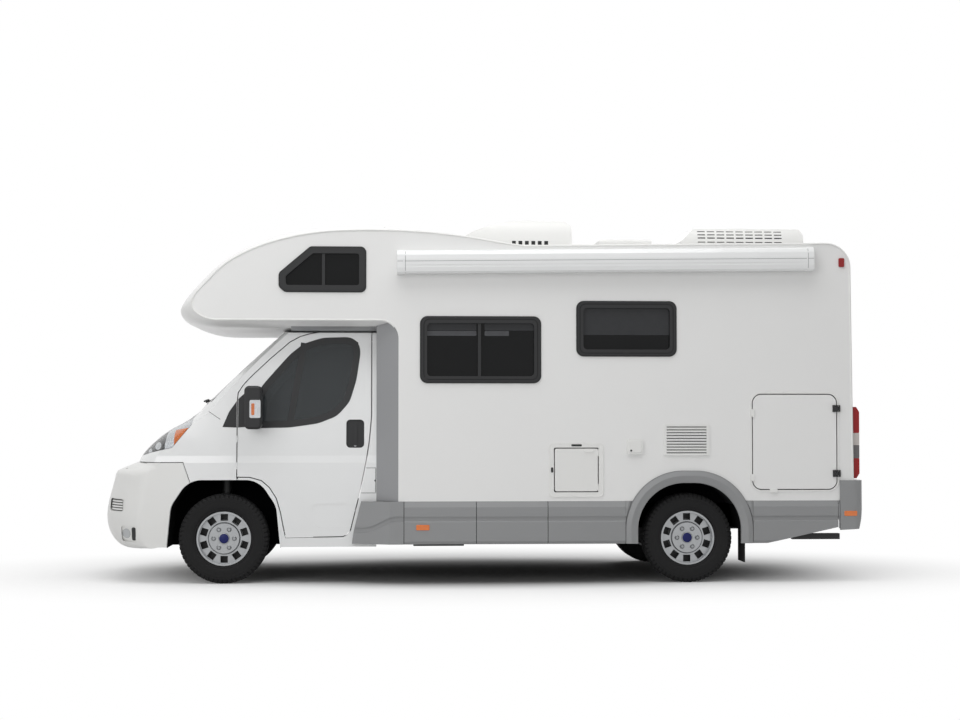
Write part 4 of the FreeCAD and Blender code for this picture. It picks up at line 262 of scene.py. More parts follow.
# Finishes by a short key: the material's name; its base colour as a code or as a setting's name; its other
# sockets; and its grain: feature size and height in mm, then the drift's depth and its size in mm
FINISHES = {
    # Sprayed and stoved: glossy, with a faint orange peel a few millimetres across
    "paint": ("stoved white enamel", "paint",
              {"Roughness": 0.28, "IOR": 1.5, "Coat Weight": 0.6, "Coat Roughness": 0.06}, (9.0, 0.02, 0.02)),
    # A little softer in its gloss than paint, with a slow waviness of the panel
    "gelcoat": ("gelcoat on glass fibre", "gelcoat",
                {"Roughness": 0.34, "IOR": 1.5, "Coat Weight": 0.25, "Coat Roughness": 0.12}, (60.0, 0.12, 0.025)),
    # Satin, with a fine mould grain
    "plastic": ("moulded white ABS", "plastic", {"Roughness": 0.42, "IOR": 1.54}, (4.0, 0.04, 0.02)),
    # Broad soft highlights
    "skirt": ("thermoformed grey ABS", "skirt", {"Roughness": 0.45, "IOR": 1.54}, (5.0, 0.05, 0.06)),
    # Metallic lacquer over a moulded panel: brighter where it faces the light
    "surround": ("silver grey lacquer", "surround", {"Roughness": 0.36, "Metallic": 0.25, "IOR": 1.5,
                                                     "Coat Weight": 0.4, "Coat Roughness": 0.1}, (6.0, 0.02, 0.05)),
    # A leather-like mould texture breaks its sheen
    "trim": ("grained black polypropylene", "trim", {"Roughness": 0.55, "IOR": 1.49}, (3.0, 0.08, 0.15)),
    # Deep black with a tight highlight
    "gloss_black": ("polished black acrylic", "#08090A", {"Roughness": 0.12, "IOR": 1.49}, (30.0, 0.01, 0.1)),
    # Double glazing: near black, mirror smooth, slightly wavy
    "tint": ("smoked acrylic", "tint", {"Roughness": 0.05, "IOR": 1.49, "Specular IOR Level": 0.18, "Alpha": 0.985},
             (180.0, 0.05, 0.45, 600.0)),
    # Faint green, clear
    "glass": ("laminated glass", "#14191A",
              {"Roughness": 0.02, "IOR": 1.52, "Specular IOR Level": 0.3, "Alpha": 0.72}, (400.0, 0.01, 0.2)),
    # Green-grey safety glass of the doors, lighter from outside than the windscreen
    "door_glass": ("toughened tinted glass", "#3E4244",
                   {"Roughness": 0.02, "IOR": 1.52, "Specular IOR Level": 0.3, "Alpha": 0.78}, (400.0, 0.01, 0.1)),
    # Nearly all light passes; only the gloss shows
    "lens": ("clear polycarbonate", "#8C9194",
             {"Roughness": 0.03, "IOR": 1.58, "Specular IOR Level": 0.3, "Alpha": 0.10}, (20.0, 0.05)),
    # Milky, with small prisms
    "lens_dull": ("frosted polycarbonate", "#BFC2C4", {"Roughness": 0.25, "IOR": 1.58}, (3.0, 0.3, 0.2, 8.0)),
    # Coloured lenses: glossy outside, with prisms a few millimetres across behind
    "amber": ("amber polycarbonate", "amber", {"Roughness": 0.18, "IOR": 1.58, "Coat Weight": 0.5},
              (5.0, 0.3, 0.2, 20.0)),
    "red": ("red polycarbonate", "red", {"Roughness": 0.16, "IOR": 1.58, "Specular IOR Level": 0.35},
            (5.0, 0.3, 0.25, 20.0)),
    # Vacuum metallised plastic: bright and a little rippled
    "reflector": ("metallised reflector", "#D8DADC", {"Metallic": 1.0, "Roughness": 0.12}, (15.0, 0.3, 0.2, 30.0)),
    # Even and silvery, without a sharp image
    "aluminium": ("satin anodised aluminium", "#C4C6C8", {"Metallic": 1.0, "Roughness": 0.32},
                  (2.5, 0.02, 0.08, 300.0)),
    # Dull and mottled
    "steel": ("zinc plated steel", "#8F9294", {"Metallic": 1.0, "Roughness": 0.42}, (12.0, 0.04, 0.35, 60.0)),
    # Sprayed wax coating: black, uneven
    "chassis": ("black chassis coating", "#1A1B1C", {"Roughness": 0.5}, (8.0, 0.2, 0.3, 150.0)),
    # Rough and dark, with the sand's grain
    "iron": ("sand cast iron", "#4A4B4C", {"Metallic": 0.8, "Roughness": 0.62}, (4.0, 0.4, 0.35, 60.0)),
    # Metal flakes under a clear coat
    "wheel": ("silver wheel lacquer", "wheel",
              {"Metallic": 0.75, "Roughness": 0.3, "Coat Weight": 0.5, "Coat Roughness": 0.08},
              (4.0, 0.02, 0.08, 80.0)),
    # Matt and dusty
    "rubber": ("vulcanised rubber", "rubber", {"Roughness": 0.78, "IOR": 1.52, "Specular IOR Level": 0.3},
               (3.0, 0.25, 0.3, 70.0)),
    # Loops of yarn: no gloss, a soft rim of light
    "cloth": ("woven seat cloth", "seat", {"Roughness": 0.9, "Sheen Weight": 0.3}, (2.5, 0.5, 0.2, 20.0)),
    # Brighter than the plated sheet
    "bolt": ("zinc plated bolt steel", "#9A9C9E", {"Metallic": 1.0, "Roughness": 0.36}, (6.0, 0.03, 0.2, 15.0)),
    # Turned grey face
    "disc": ("ground brake disc iron", "#6E6F70", {"Metallic": 1.0, "Roughness": 0.4}, (3.0, 0.05, 0.3, 25.0)),
    # Felt of the wheel housings: takes almost all light
    "liner": ("black needled felt", "#08080A", {"Roughness": 0.97, "Specular IOR Level": 0.1}, (4.0, 0.6, 0.4, 90.0)),
    # A sharp image
    "mirror": ("silvered mirror glass", "#C8CDD0", {"Metallic": 1.0, "Roughness": 0.02}, (200.0, 0.01, 0.05)),
    # Blinds as the pane shows them: greyer than the tint, with the pane's gloss
    "blind": ("aluminised blind cloth behind acrylic", "#4C4D50", {"Roughness": 0.2, "Specular IOR Level": 0.3},
              (14.0, 0.1, 0.25, 60.0)),
    "shade": ("grey blind cloth behind acrylic", "#37383A", {"Roughness": 0.2, "Specular IOR Level": 0.2},
              (14.0, 0.1, 0.2, 60.0)),
    # Satin blue
    "cap": ("dark blue enamel", "cap", {"Roughness": 0.35, "Specular IOR Level": 0.25}, (10.0, 0.02, 0.1, 30.0)),
}


def make_finishes(colours):
    """Every material, by its short key."""
    made = {}
    for key, (name, code, sockets, grain) in FINISHES.items():
        colour = linear(code) if code.startswith("#") else getattr(colours, code)
        made[key] = material(name, {"Base Color": colour, **sockets}, grained(colour, *grain))
    # Ribs of a few millimetres break the highlight of the tail lamp's lens
    made["tail"] = material("ribbed acrylic lamp lens", {
        "Base Color": colours.red, "Roughness": 0.14, "IOR": 1.49, "Specular IOR Level": 0.35},
        lamp_sections(colours.red, linear("#C9C2BE"), linear("#6E6A6B")))
    # Polished black and metallised parts side by side
    made["lamp_inside"] = material("headlamp bezel and reflector", {
        "Base Color": linear("#D8DADC"), "Roughness": 0.16},
        headlamp_zones(linear("#060607"), linear("#C6C9CC"), colours.amber))
    return made


FINISH_OF_SLOT = {
    "white_paint": "paint", "white_grp": "gelcoat", "white_plastic": "plastic", "grey_moulding": "skirt",
    "silver_paint": "surround", "black_plastic": "trim", "tinted_glass": "tint", "clear_glass": "glass",
    "lamp_lens": "lens", "red_lens": "red", "chassis_steel": "chassis", "bare_steel": "steel",
    "cast_metal": "iron", "wheel_paint": "wheel", "tyre_rubber": "rubber", "flap_rubber": "rubber",
    "seat_fabric": "cloth"}
FINISH_OF_NODE = {"cab_door_glass_left": "door_glass", "cab_door_glass_right": "door_glass", "rear_lamps": "tail",
                  "corner_steadies": "chassis"}
# The frame's slot for a new piece with each finish, unless the piece names another: piece looks it up but gives it to
# nothing
SLOT_OF_FINISH = {
    "trim": "black_plastic", "gloss_black": "black_plastic", "liner": "black_plastic", "blind": "black_plastic",
    "shade": "black_plastic", "plastic": "white_plastic", "skirt": "grey_moulding", "rubber": "flap_rubber",
    "amber": "red_lens", "red": "red_lens", "lens": "lamp_lens", "lens_dull": "lamp_lens",
    "reflector": "lamp_lens", "lamp_inside": "lamp_lens", "mirror": "lamp_lens", "aluminium": "bare_steel",
    "wheel": "wheel_paint", "bolt": "wheel_paint", "cap": "wheel_paint", "disc": "cast_metal",
    "chassis": "cast_metal"}
FINISH = {}


def finish(key):
    """A material by key; all are made the first time one is asked for."""
    if not FINISH:
        FINISH.update(make_finishes(bpy.context.scene.motorhome_colours))
    return FINISH[key]


# Mesh making
def put_mesh(name, points, faces, smooth=True):
    """A mesh object at the origin from arrays of points and of faces."""
    mesh = bpy.data.meshes.new(name)
    mesh.from_pydata([tuple(map(float, p)) for p in points], [], [tuple(int(i) for i in f) for f in faces])
    mesh.validate()
    mesh.polygons.foreach_set("use_smooth", [smooth] * len(mesh.polygons))
    made = bpy.data.objects.new(name, mesh)
    bpy.context.scene.collection.objects.link(made)
    return made


def piece(name, shape, key, body="vehicle", slot=None, smooth=True, sharp=35.0):
    """A new piece with its finish, on the body it moves with; edges sharper than the angle stay sharp."""
    made = put_mesh(name, *shape, smooth)
    made.data.materials.append(finish(key))
    if smooth:
        made.data.set_sharp_from_angle(angle=math.radians(sharp))
    slot = slot or SLOT_OF_FINISH[key]
    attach(made, body)
    return made


def both_sides(name, shape, key, body="vehicle", **settings):
    """A piece of the left side and its mirror image; the body's name may have {} for the side."""
    return [piece(f"{name}_{end}", on_side(shape, side), key, body.format(end), **settings) for side, end in SIDES]


def thicken(pieces, thickness, offset=-1.0):
    """Give sheets their thickness, inwards from their face unless the offset says otherwise."""
    for made in pieces:
        solid = made.modifiers.new("thickness", "SOLIDIFY")
        solid.thickness, solid.offset = thickness, offset


def joined(parts):
    """Several (points, faces) pairs as one, with the face indices moved on."""
    points, faces, start = [], [], 0
    for some_points, some_faces in parts:
        points.extend(some_points)
        faces.extend([tuple(i + start for i in face) for face in some_faces])
        start += len(some_points)
    return points, faces


def grid_faces(rows, columns, close_rows=False, close_columns=False):
    """Quads of a rows x columns grid of points stored row by row."""
    row, column = np.meshgrid(np.arange(rows if close_rows else rows - 1),
                              np.arange(columns if close_columns else columns - 1), indexing="ij")
    below, beside = (row + 1) % rows * columns, (column + 1) % columns
    quads = np.stack((row * columns + column, row * columns + beside, below + beside, below + column), axis=-1)
    return [tuple(quad) for quad in quads.reshape(-1, 4).tolist()]


def flipped(faces):
    """Each face with its corners in the other order."""
    return [tuple(reversed(face)) for face in faces]


def mirrored_y(shape):
    """The same piece on the other side: y becomes -y, and each face turns round."""
    points, faces = shape
    return np.asarray(points) * (1.0, -1.0, 1.0), flipped(faces)


def on_side(shape, side):
    """A left-hand shape, or its mirror image for the right."""
    return shape if side < 0 else mirrored_y(shape)


def turned(profile, centre, segments=48, side=-1):
    """A profile of (r, v) turned round a Y axis: (cx + r cos a, cy + side v, cz + r sin a), for a from 0 to 2 pi."""
    r, v = np.repeat(profile, segments, axis=0).T
    a = np.tile(np.linspace(0.0, 2 * math.pi, segments, endpoint=False), len(profile))
    points = np.stack((r * np.cos(a), side * v, r * np.sin(a)), axis=1) + centre
    faces = grid_faces(len(profile), segments, close_columns=True)
    return points, flipped(faces) if side > 0 else faces


def rounded_rectangle(x, z, length, height, radius, steps=5):
    """Corner arcs (cx + r cos a, cz + r sin a) joined by straight sides, anticlockwise in X and Z."""
    radius = min(radius, length / 2, height / 2)
    left, right, low, high = x + radius, x + length - radius, z + radius, z + height - radius
    corners = np.array(((right, high), (left, high), (left, low), (right, low)))
    a = np.linspace(0.0, math.pi / 2, steps) + math.pi / 2 * np.arange(4)[:, None]
    arcs = corners[:, None] + radius * np.stack((np.cos(a), np.sin(a)), axis=-1)
    return arcs.reshape(-1, 2)


def at_depth(outline, y):
    """An outline in X and Z as points that all lie at one y."""
    return np.insert(outline, 1, y, axis=1)


def plate_shape(outline, y_base, y_face, bevel):
    """A flat plate on the left side: its outline at the base, again short of the face, and drawn in by the bevel.

    Drawn in, a point p is at c + (1 - bevel / |p - c|) (p - c), with c the middle of the outline.
    """
    centre = np.mean(outline, axis=0)
    count = len(outline)
    away = outline - centre
    size = np.maximum(np.linalg.norm(away, axis=1), 1e-6)[:, None]
    inner = centre + away * np.maximum(0.0, 1 - bevel / size)
    points = np.concatenate((at_depth(outline, y_base), at_depth(outline, y_face + bevel), at_depth(inner, y_face)))
    faces = flipped(grid_faces(3, count, close_columns=True))
    faces.append(tuple(range(2 * count, 3 * count)))
    faces.append(tuple(reversed(range(count))))
    return points, faces


def wall_plate(box_mm, wall_y=1150.0, proud=4.0, radius=6.0, bevel=1.5, sunk=1.0):
    """A small rounded plate on the left wall, all in mm: box_mm is its x, z, length and height."""
    x, z, length, height = (value * MM for value in box_mm)
    outline = rounded_rectangle(x, z, length, height, radius * MM)
    return plate_shape(outline, -(wall_y - sunk) * MM, -(wall_y + proud) * MM, bevel * MM)


def run_at(path, i, closed):
    """The unit vector along a path at its i-th point, from the point behind it to the one ahead."""
    count = len(path)
    ahead = path[(i + 1) % count] if closed else path[min(i + 1, count - 1)]
    behind = path[i - 1] if closed else path[max(i - 1, 0)]
    run = ahead - behind
    return run / max(np.linalg.norm(run), 1e-9)


def tube_shape(path, radius, segments=8, closed=False):
    """A round tube along a path: each ring is p + r (n cos a + b sin a), with n and b square to the path.

    The first n leans on a fixed axis, and each later one on the one before, so the tube doesn't twist.
    """
    path = np.array(path, dtype=float)
    count = len(path)
    a = np.linspace(0, 2 * math.pi, segments, endpoint=False)
    circle = radius * np.stack((np.cos(a), np.sin(a)), axis=1)
    rings, before = [], None
    for i, here in enumerate(path):
        tangent = run_at(path, i, closed)
        guide = before
        if guide is None:
            guide = np.array((0.0, 1.0, 0.0) if abs(tangent[1]) < 0.9 else (1.0, 0.0, 0.0))
        normal = guide - tangent * guide.dot(tangent)
        normal /= max(np.linalg.norm(normal), 1e-9)
        before = normal
        rings.append(here + circle @ np.stack((normal, np.cross(tangent, normal))))
    points = np.concatenate(rings)
    faces = grid_faces(count, segments, close_rows=closed, close_columns=True)
    if not closed:
        faces.append(tuple(reversed(range(segments))))
        faces.append(tuple(range((count - 1) * segments, count * segments)))
    return points, faces


TREES = {}


def tree_of(names):
    """A search tree over the meshes of some CAD nodes."""
    if names not in TREES:
        points, faces = [], []
        for name in names:
            mesh = NODES[name].data
            start = len(points)
            points.extend([v.co.copy() for v in mesh.vertices])
            faces.extend([tuple(start + i for i in p.vertices) for p in mesh.polygons])
        TREES[names] = BVHTree.FromPolygons(points, faces)
    return TREES[names]


def side_y(names, x, z):
    """How far out the left side of some nodes is at x and z, or None where there is nothing."""
    hit = tree_of(names).ray_cast((x, -2.0, z), (0.0, 1.0, 0.0))
    return hit[0].y if hit[0] is not None else None


def top_z(names, x, y):
    """How high some nodes reach at x and y."""
    hit = tree_of(names).ray_cast((x, y, 4.0), (0.0, 0.0, -1.0))
    return hit[0].z


def front_x(names, y, z):
    """How far forward some nodes reach at y and z, or None where there is nothing."""
    hit = tree_of(names).ray_cast((-4.0, y, z), (1.0, 0.0, 0.0))
    return hit[0].x if hit[0] is not None else None


def resampled(points, step, closed):
    """Points at about equal steps along straight runs."""
    points = [np.array(p, dtype=float) for p in points]
    ends = points[1:] + ([points[0]] if closed else [])
    made = []
    for a, b in zip(points, ends):
        count = max(1, int(round(np.linalg.norm(b - a) / step)))
        made.extend([a + (b - a) * k / count for k in range(count)])
    if not closed:
        made.append(points[-1])
    return made


def smoothed(points, passes):
    """A closed outline with its corners eased: each pass moves a point half way to the middle of its neighbours."""
    points = np.array(points, dtype=float)
    for _ in range(passes):
        points = (points + (np.roll(points, 1, axis=0) + np.roll(points, -1, axis=0)) / 2) / 2
    return points


def band_shape(outline, width, names, lift, closed=True, thickness=0.003):
    """A flat band along an outline in X and Z, laid on the left side of some nodes.

    Two rails run half the width to each side, p + (width / 2) n; each rail point is moved in Y onto the surface
    and then out by the lift, and the edges turn down by the thickness.
    """
    count = len(outline)
    rails = [[], []]
    last = [None, None]
    for i, p in enumerate(outline):
        run = run_at(outline, i, closed)
        across = np.array((-run[1], run[0])) * width / 2
        for k, q in enumerate((p + across, p - across)):
            y = side_y(names, q[0], q[1])
            y = last[k] if y is None else y
            last[k] = y
            rails[k].append([q[0], y, q[1]])
    points = []
    for k in (0, 1):
        first = next(p[1] for p in rails[k] if p[1] is not None)
        for p in rails[k]:
            p[1] = first if p[1] is None else p[1]
    for i in range(count):
        a, b = rails[0][i], rails[1][i]
        points.extend([(a[0], a[1] - lift + thickness, a[2]), (a[0], a[1] - lift, a[2]),
                       (b[0], b[1] - lift, b[2]), (b[0], b[1] - lift + thickness, b[2])])
    return points, grid_faces(count, 4, close_rows=closed)


def patch_shape(outline, names, lift, thickness=0.003, rings=4, lost_y=-1.03):
    """A flat patch laid on the left side of some nodes: rings of the outline drawn in towards its middle.

    Ring k is at c + (1 - k / (rings + 1)) (p - c); a point beside the nodes takes lost_y.
    """
    centre = np.mean(outline, axis=0)
    count = len(outline)
    points = []
    for k in range(rings + 1):
        share = 1 - k / (rings + 1)
        for p in outline:
            q = centre + (p - centre) * share
            y = side_y(names, q[0], q[1])
            points.append((q[0], (lost_y if y is None else y) - lift, q[1]))
    points = [(x, y + thickness, z) for x, y, z in points[:count]] + points
    faces = flipped(grid_faces(rings + 2, count, close_columns=True))
    faces.append(tuple(range((rings + 1) * count, (rings + 2) * count)))
    return points, faces


def box_shape(low, high):
    """A box's eight corners and six faces."""
    points = [(x, y, z) for x in (low[0], high[0]) for y in (low[1], high[1]) for z in (low[2], high[2])]
    faces = [(0, 1, 3, 2), (4, 6, 7, 5), (0, 4, 5, 1), (2, 3, 7, 6), (0, 2, 6, 4), (1, 5, 7, 3)]
    return points, faces


# Wheels
FRONT_AXLE_X, REAR_AXLE_X = -2.110, 1.690
WHEEL_SPOTS = {"front_left": (FRONT_AXLE_X, -0.895), "front_right": (FRONT_AXLE_X, 0.895),
               "rear_left": (REAR_AXLE_X, -0.985), "rear_right": (REAR_AXLE_X, 0.985)}
TYRE_RADIUS = 0.365
TYRE_HALF = 0.1075          # half the tyre's width
BEAD_RADIUS = 0.226
DISC_FACE = 0.055           # how far out of the wheel's middle its disc's face is
BRAKE_PLACE = 0.03          # the same for the middle of the brake, and the brake disc's outer face from there
BRAKE_FACE = -0.056
# The tyre's side from the bead to the tread: share of its height, and share of its half width
SECTION_SHARES = ((0.0, 0.86), (0.05, 0.93), (0.09, 0.935), (0.11, 0.925), (0.14, 0.955), (0.28, 0.99), (0.45, 1.0),
                  (0.60, 0.988), (0.62, 0.995), (0.64, 0.985), (0.70, 0.972), (0.735, 0.985), (0.76, 0.982),
                  (0.80, 0.970), (0.86, 0.945), (0.92, 0.915), (0.955, 0.885), (0.985, 0.835), (1.0, 0.76))


def tread_depth(v, a, lugs, depth):
    """How deep the tread is cut at width share v and angle a.

    Four grooves run round the tyre at v = +-0.14 and +-0.46. With f the fraction of lugs a / 2 pi + 0.9 |v|, and
    half a step more on one side, slanted grooves cross the shoulders at f = 0.16 and fine cuts the ribs at 0.6.
    """
    round_grooves = np.zeros_like(a)
    for place in (0.14, 0.46):
        round_grooves = np.maximum(round_grooves, np.clip(1.6 - np.abs(np.abs(v) - place) / 0.032, 0, 1))
    phase = (lugs * a / (2 * math.pi) + 0.9 * np.abs(v) + 0.5 * (v > 0)) % 1.0
    cross = np.clip(1.6 - np.abs(phase - 0.16) / 0.11, 0, 1) * (np.abs(v) > 0.50)
    sipes = 0.55 * np.clip(1.5 - np.abs(phase - 0.6) / 0.05, 0, 1) * (np.abs(v) < 0.44) * (np.abs(v) > 0.18)
    return depth * np.maximum(np.maximum(round_grooves, cross), sipes)


def tyre_shape(x, y, depth, lugs=58, around=464):
    """A tyre turned round its axle: (x + r cos a, y + v, z + r sin a).

    The section's points (r, v) are moved in along the section's normal by the tread's depth at their angle.
    """
    half = [(BEAD_RADIUS + u * (TYRE_RADIUS - BEAD_RADIUS), w) for u, w in SECTION_SHARES]
    across = (-0.66, -0.58, -0.545, -0.51, -0.48, -0.44, -0.41, -0.38, -0.30, -0.20, -0.18, -0.15, -0.13, -0.10)
    tread = [(TYRE_RADIUS, v) for v in across]
    left = [(r, -w) for r, w in half] + tread
    section = np.array(left + [(TYRE_RADIUS, 0.0)] + [(r, -v) for r, v in left[::-1]])
    section[:, 1] *= TYRE_HALF
    along = np.gradient(section, axis=0)
    outward = np.stack((along[:, 1], -along[:, 0]), axis=-1)
    outward /= np.linalg.norm(outward, axis=1)[:, None]
    angle, row = np.meshgrid(np.linspace(0, 2 * math.pi, around, endpoint=False), np.arange(len(section)))
    shoulder = np.clip((section[:, 0] - (TYRE_RADIUS - 0.036)) / 0.010, 0, 1)
    cut = tread_depth(section[row, 1] / TYRE_HALF, angle, lugs, depth) * shoulder[row]
    r = section[row, 0] - cut * outward[row, 0]
    v = section[row, 1] - cut * outward[row, 1]
    points = np.stack((x + r * np.cos(angle), y + v, TYRE_RADIUS + r * np.sin(angle)), axis=-1)
    return points.reshape(-1, 3), grid_faces(len(section), around, close_columns=True)


def bolt_shape(x, y, side, radius, count=6, size=0.0145, height=0.020):
    """Hexagon heads on round collars, on a circle: the n-th at the angle 2 pi n / count."""
    parts = []
    for n in range(count):
        a = 2 * math.pi * n / count
        spot = (x + radius * math.cos(a), y + side * DISC_FACE, TYRE_RADIUS + radius * math.sin(a))
        parts.append(turned([(size * 1.35, -0.001), (size * 1.35, 0.003), (size * 1.1, 0.006)], spot, 20, side))
        head = [(size, 0.004), (size, height - 0.003), (size * 0.82, height), (0.0, height)]
        parts.append(turned(head, spot, 6, side))
    return joined(parts)


class MOTORHOME_OT_wheels(bpy.types.Operator):
    """Tyres with tread, wheel bolts, centre caps and brake discs"""
    bl_idname = "motorhome.wheels"
    bl_label = "Wheels"

    def execute(self, context):
        sizes = context.scene.motorhome_sizes
        for name, (x, y) in WHEEL_SPOTS.items():
            side = -1 if y < 0 else 1
            body = "wheel_" + name
            shape = tyre_shape(x, y, sizes.tread_depth)
            tyre = piece("tyre_tread_" + name, shape, "rubber", body, "tyre_rubber", sharp=50.0)
            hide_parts("tyre_" + name)
            piece("wheel_bolts_" + name, bolt_shape(x, y, side, sizes.bolt_circle), "bolt", body)
            hub = (x, y + side * DISC_FACE, TYRE_RADIUS)
            ring = [(0.046, -0.001), (0.046, 0.004), (0.043, 0.008), (0.040, 0.0085), (0.039, 0.007)]
            piece("cap_ring_" + name, turned(ring, hub, 40, side), "wheel", body)
            dome = [(0.039, 0.006), (0.035, 0.0085), (0.020, 0.0105), (0.0, 0.0115)]
            piece("centre_cap_" + name, turned(dome, hub, 40, side), "cap", body)
            brake = (x, y + side * BRAKE_PLACE, TYRE_RADIUS)
            disc = [(0.075, -0.016), (0.150, -0.016), (0.152, -0.014), (0.152, 0.0), (0.150, 0.002), (0.080, 0.002),
                    (0.075, 0.012), (0.063, 0.012)]
            shield = [(0.060, -0.020), (0.208, -0.020), (0.210, -0.017), (0.208, -0.014), (0.060, -0.014)]
            for part, profile, key in (("brake_disc_", disc, "disc"), ("dust_shield_", shield, "chassis")):
                profile = [(r, BRAKE_FACE + v) for r, v in profile]
                piece(part + name, turned(profile, brake, 64, side), key, body)
        return {"FINISHED"}


# Cab
WINDOW_OUTLINE = ((-1.907, 1.278), (-1.879, 1.453), (-1.792, 1.604), (-1.673, 1.742), (-1.564, 1.865),
                  (-1.456, 1.952), (-1.303, 2.001), (-1.075, 2.008), (-1.021, 1.974), (-1.008, 1.907),
                  (-1.042, 1.672), (-1.097, 1.490), (-1.195, 1.379), (-1.347, 1.319), (-1.586, 1.285))
WING_TRIANGLE = ((-2.122, 1.276), (-2.070, 1.399), (-2.009, 1.487), (-2.009, 1.272))
DOOR_TRIANGLE = ((-1.996, 1.272), (-1.996, 1.505), (-1.880, 1.610), (-1.800, 1.596), (-1.879, 1.453),
                 (-1.907, 1.278))
WINDOW_POST = ((-1.464, 1.968), (-1.576, 1.288))
SEAL_SHARE = 0.955          # the seal's middle line, drawn in from the window's outline
SIDE_NODES = ("cab_door_left", "cab_door_glass_left")
PILLAR_NODES = ("front_wings", "cab_shell")
BUMPER_NODES = ("front_bumper",)
# Corners of the wheel openings before they are rounded: the axle's x, half the width there, and z
FRONT_ARCH = tuple((FRONT_AXLE_X, half, z) for half, z in ((0.517, -0.304), (0.428, 0.630), (0.285, 0.845)))
ARCH_HALF, ARCH_TOP, ARCH_CORNER = 0.425, 0.819, 0.382
REAR_ARCH = tuple((REAR_AXLE_X, ARCH_HALF, z) for z in (-ARCH_HALF, ARCH_TOP))


def arch_outline(corners, radius, low, gap):
    """A wheel opening from its front foot over the top to its rear foot, drawn in by a gap.

    Each corner is rounded by a curve that touches both its sides, s (1 - u)^2 + 2 c u (1 - u) + e u^2: its ends s
    and e are radius tan(turn / 2) from the corner c. The foot is where the side reaches the lowest height.
    """
    middle = corners[0][0]
    corners = [np.array((x + half - gap, z - gap)) for x, half, z in corners]
    corners = corners + [np.array((2 * middle - x, z)) for x, z in corners[::-1]]
    points = []
    for i in range(1, len(corners) - 1):
        here = corners[i]
        before, after = corners[i - 1] - here, corners[i + 1] - here
        room = min(np.linalg.norm(before), np.linalg.norm(after)) * 0.45
        before, after = before / np.linalg.norm(before), after / np.linalg.norm(after)
        turn = math.pi - math.acos(max(-1.0, min(1.0, before.dot(after))))
        back = min(radius * math.tan(turn / 2), room)
        start, end = here + before * back, here + after * back
        for u in np.linspace(0, 1, 13):
            points.append(start * (1 - u) ** 2 + here * 2 * u * (1 - u) + end * u ** 2)
    share = (points[0][1] - low) / (points[0][1] - corners[0][1])
    rear = np.array((points[0][0] + share * (corners[0][0] - points[0][0]), low))
    front = np.array((2 * middle - rear[0], low))
    return [tuple(q) for q in [rear] + points + [front]][::-1]


def liner_shape(corners, radius, low, y_out, y_in):
    """A liner 2 mm thick, from 1 mm inside its arch to 1 mm outside, swept from y_out to y_in and closed by a wall.

    Its section runs from the outside in along one outline and back along a wider one, and both ends get a face.
    """
    near, wide = arch_outline(corners, radius, low, 0.001), arch_outline(corners, radius, low, -0.001)
    back = y_in + 0.002 if y_in < 0 else y_in - 0.002
    count = len(near)
    points = np.concatenate((at_depth(near, y_out), at_depth(near, y_in), at_depth(wide, back), at_depth(wide, y_out)))
    faces = grid_faces(4, count)
    faces += [(3 * count + i, i, i + 1, 3 * count + i + 1)[::-1] for i in range(count - 1)]
    faces += [tuple(range(count, 2 * count)), tuple(range(2 * count, 3 * count))[::-1]]
    faces += [(0, count, 2 * count, 3 * count)[::-1], tuple(k * count + count - 1 for k in range(4))]
    faces.append((count, 2 * count - 1, 3 * count - 1, 2 * count)[::-1])
    return points, faces


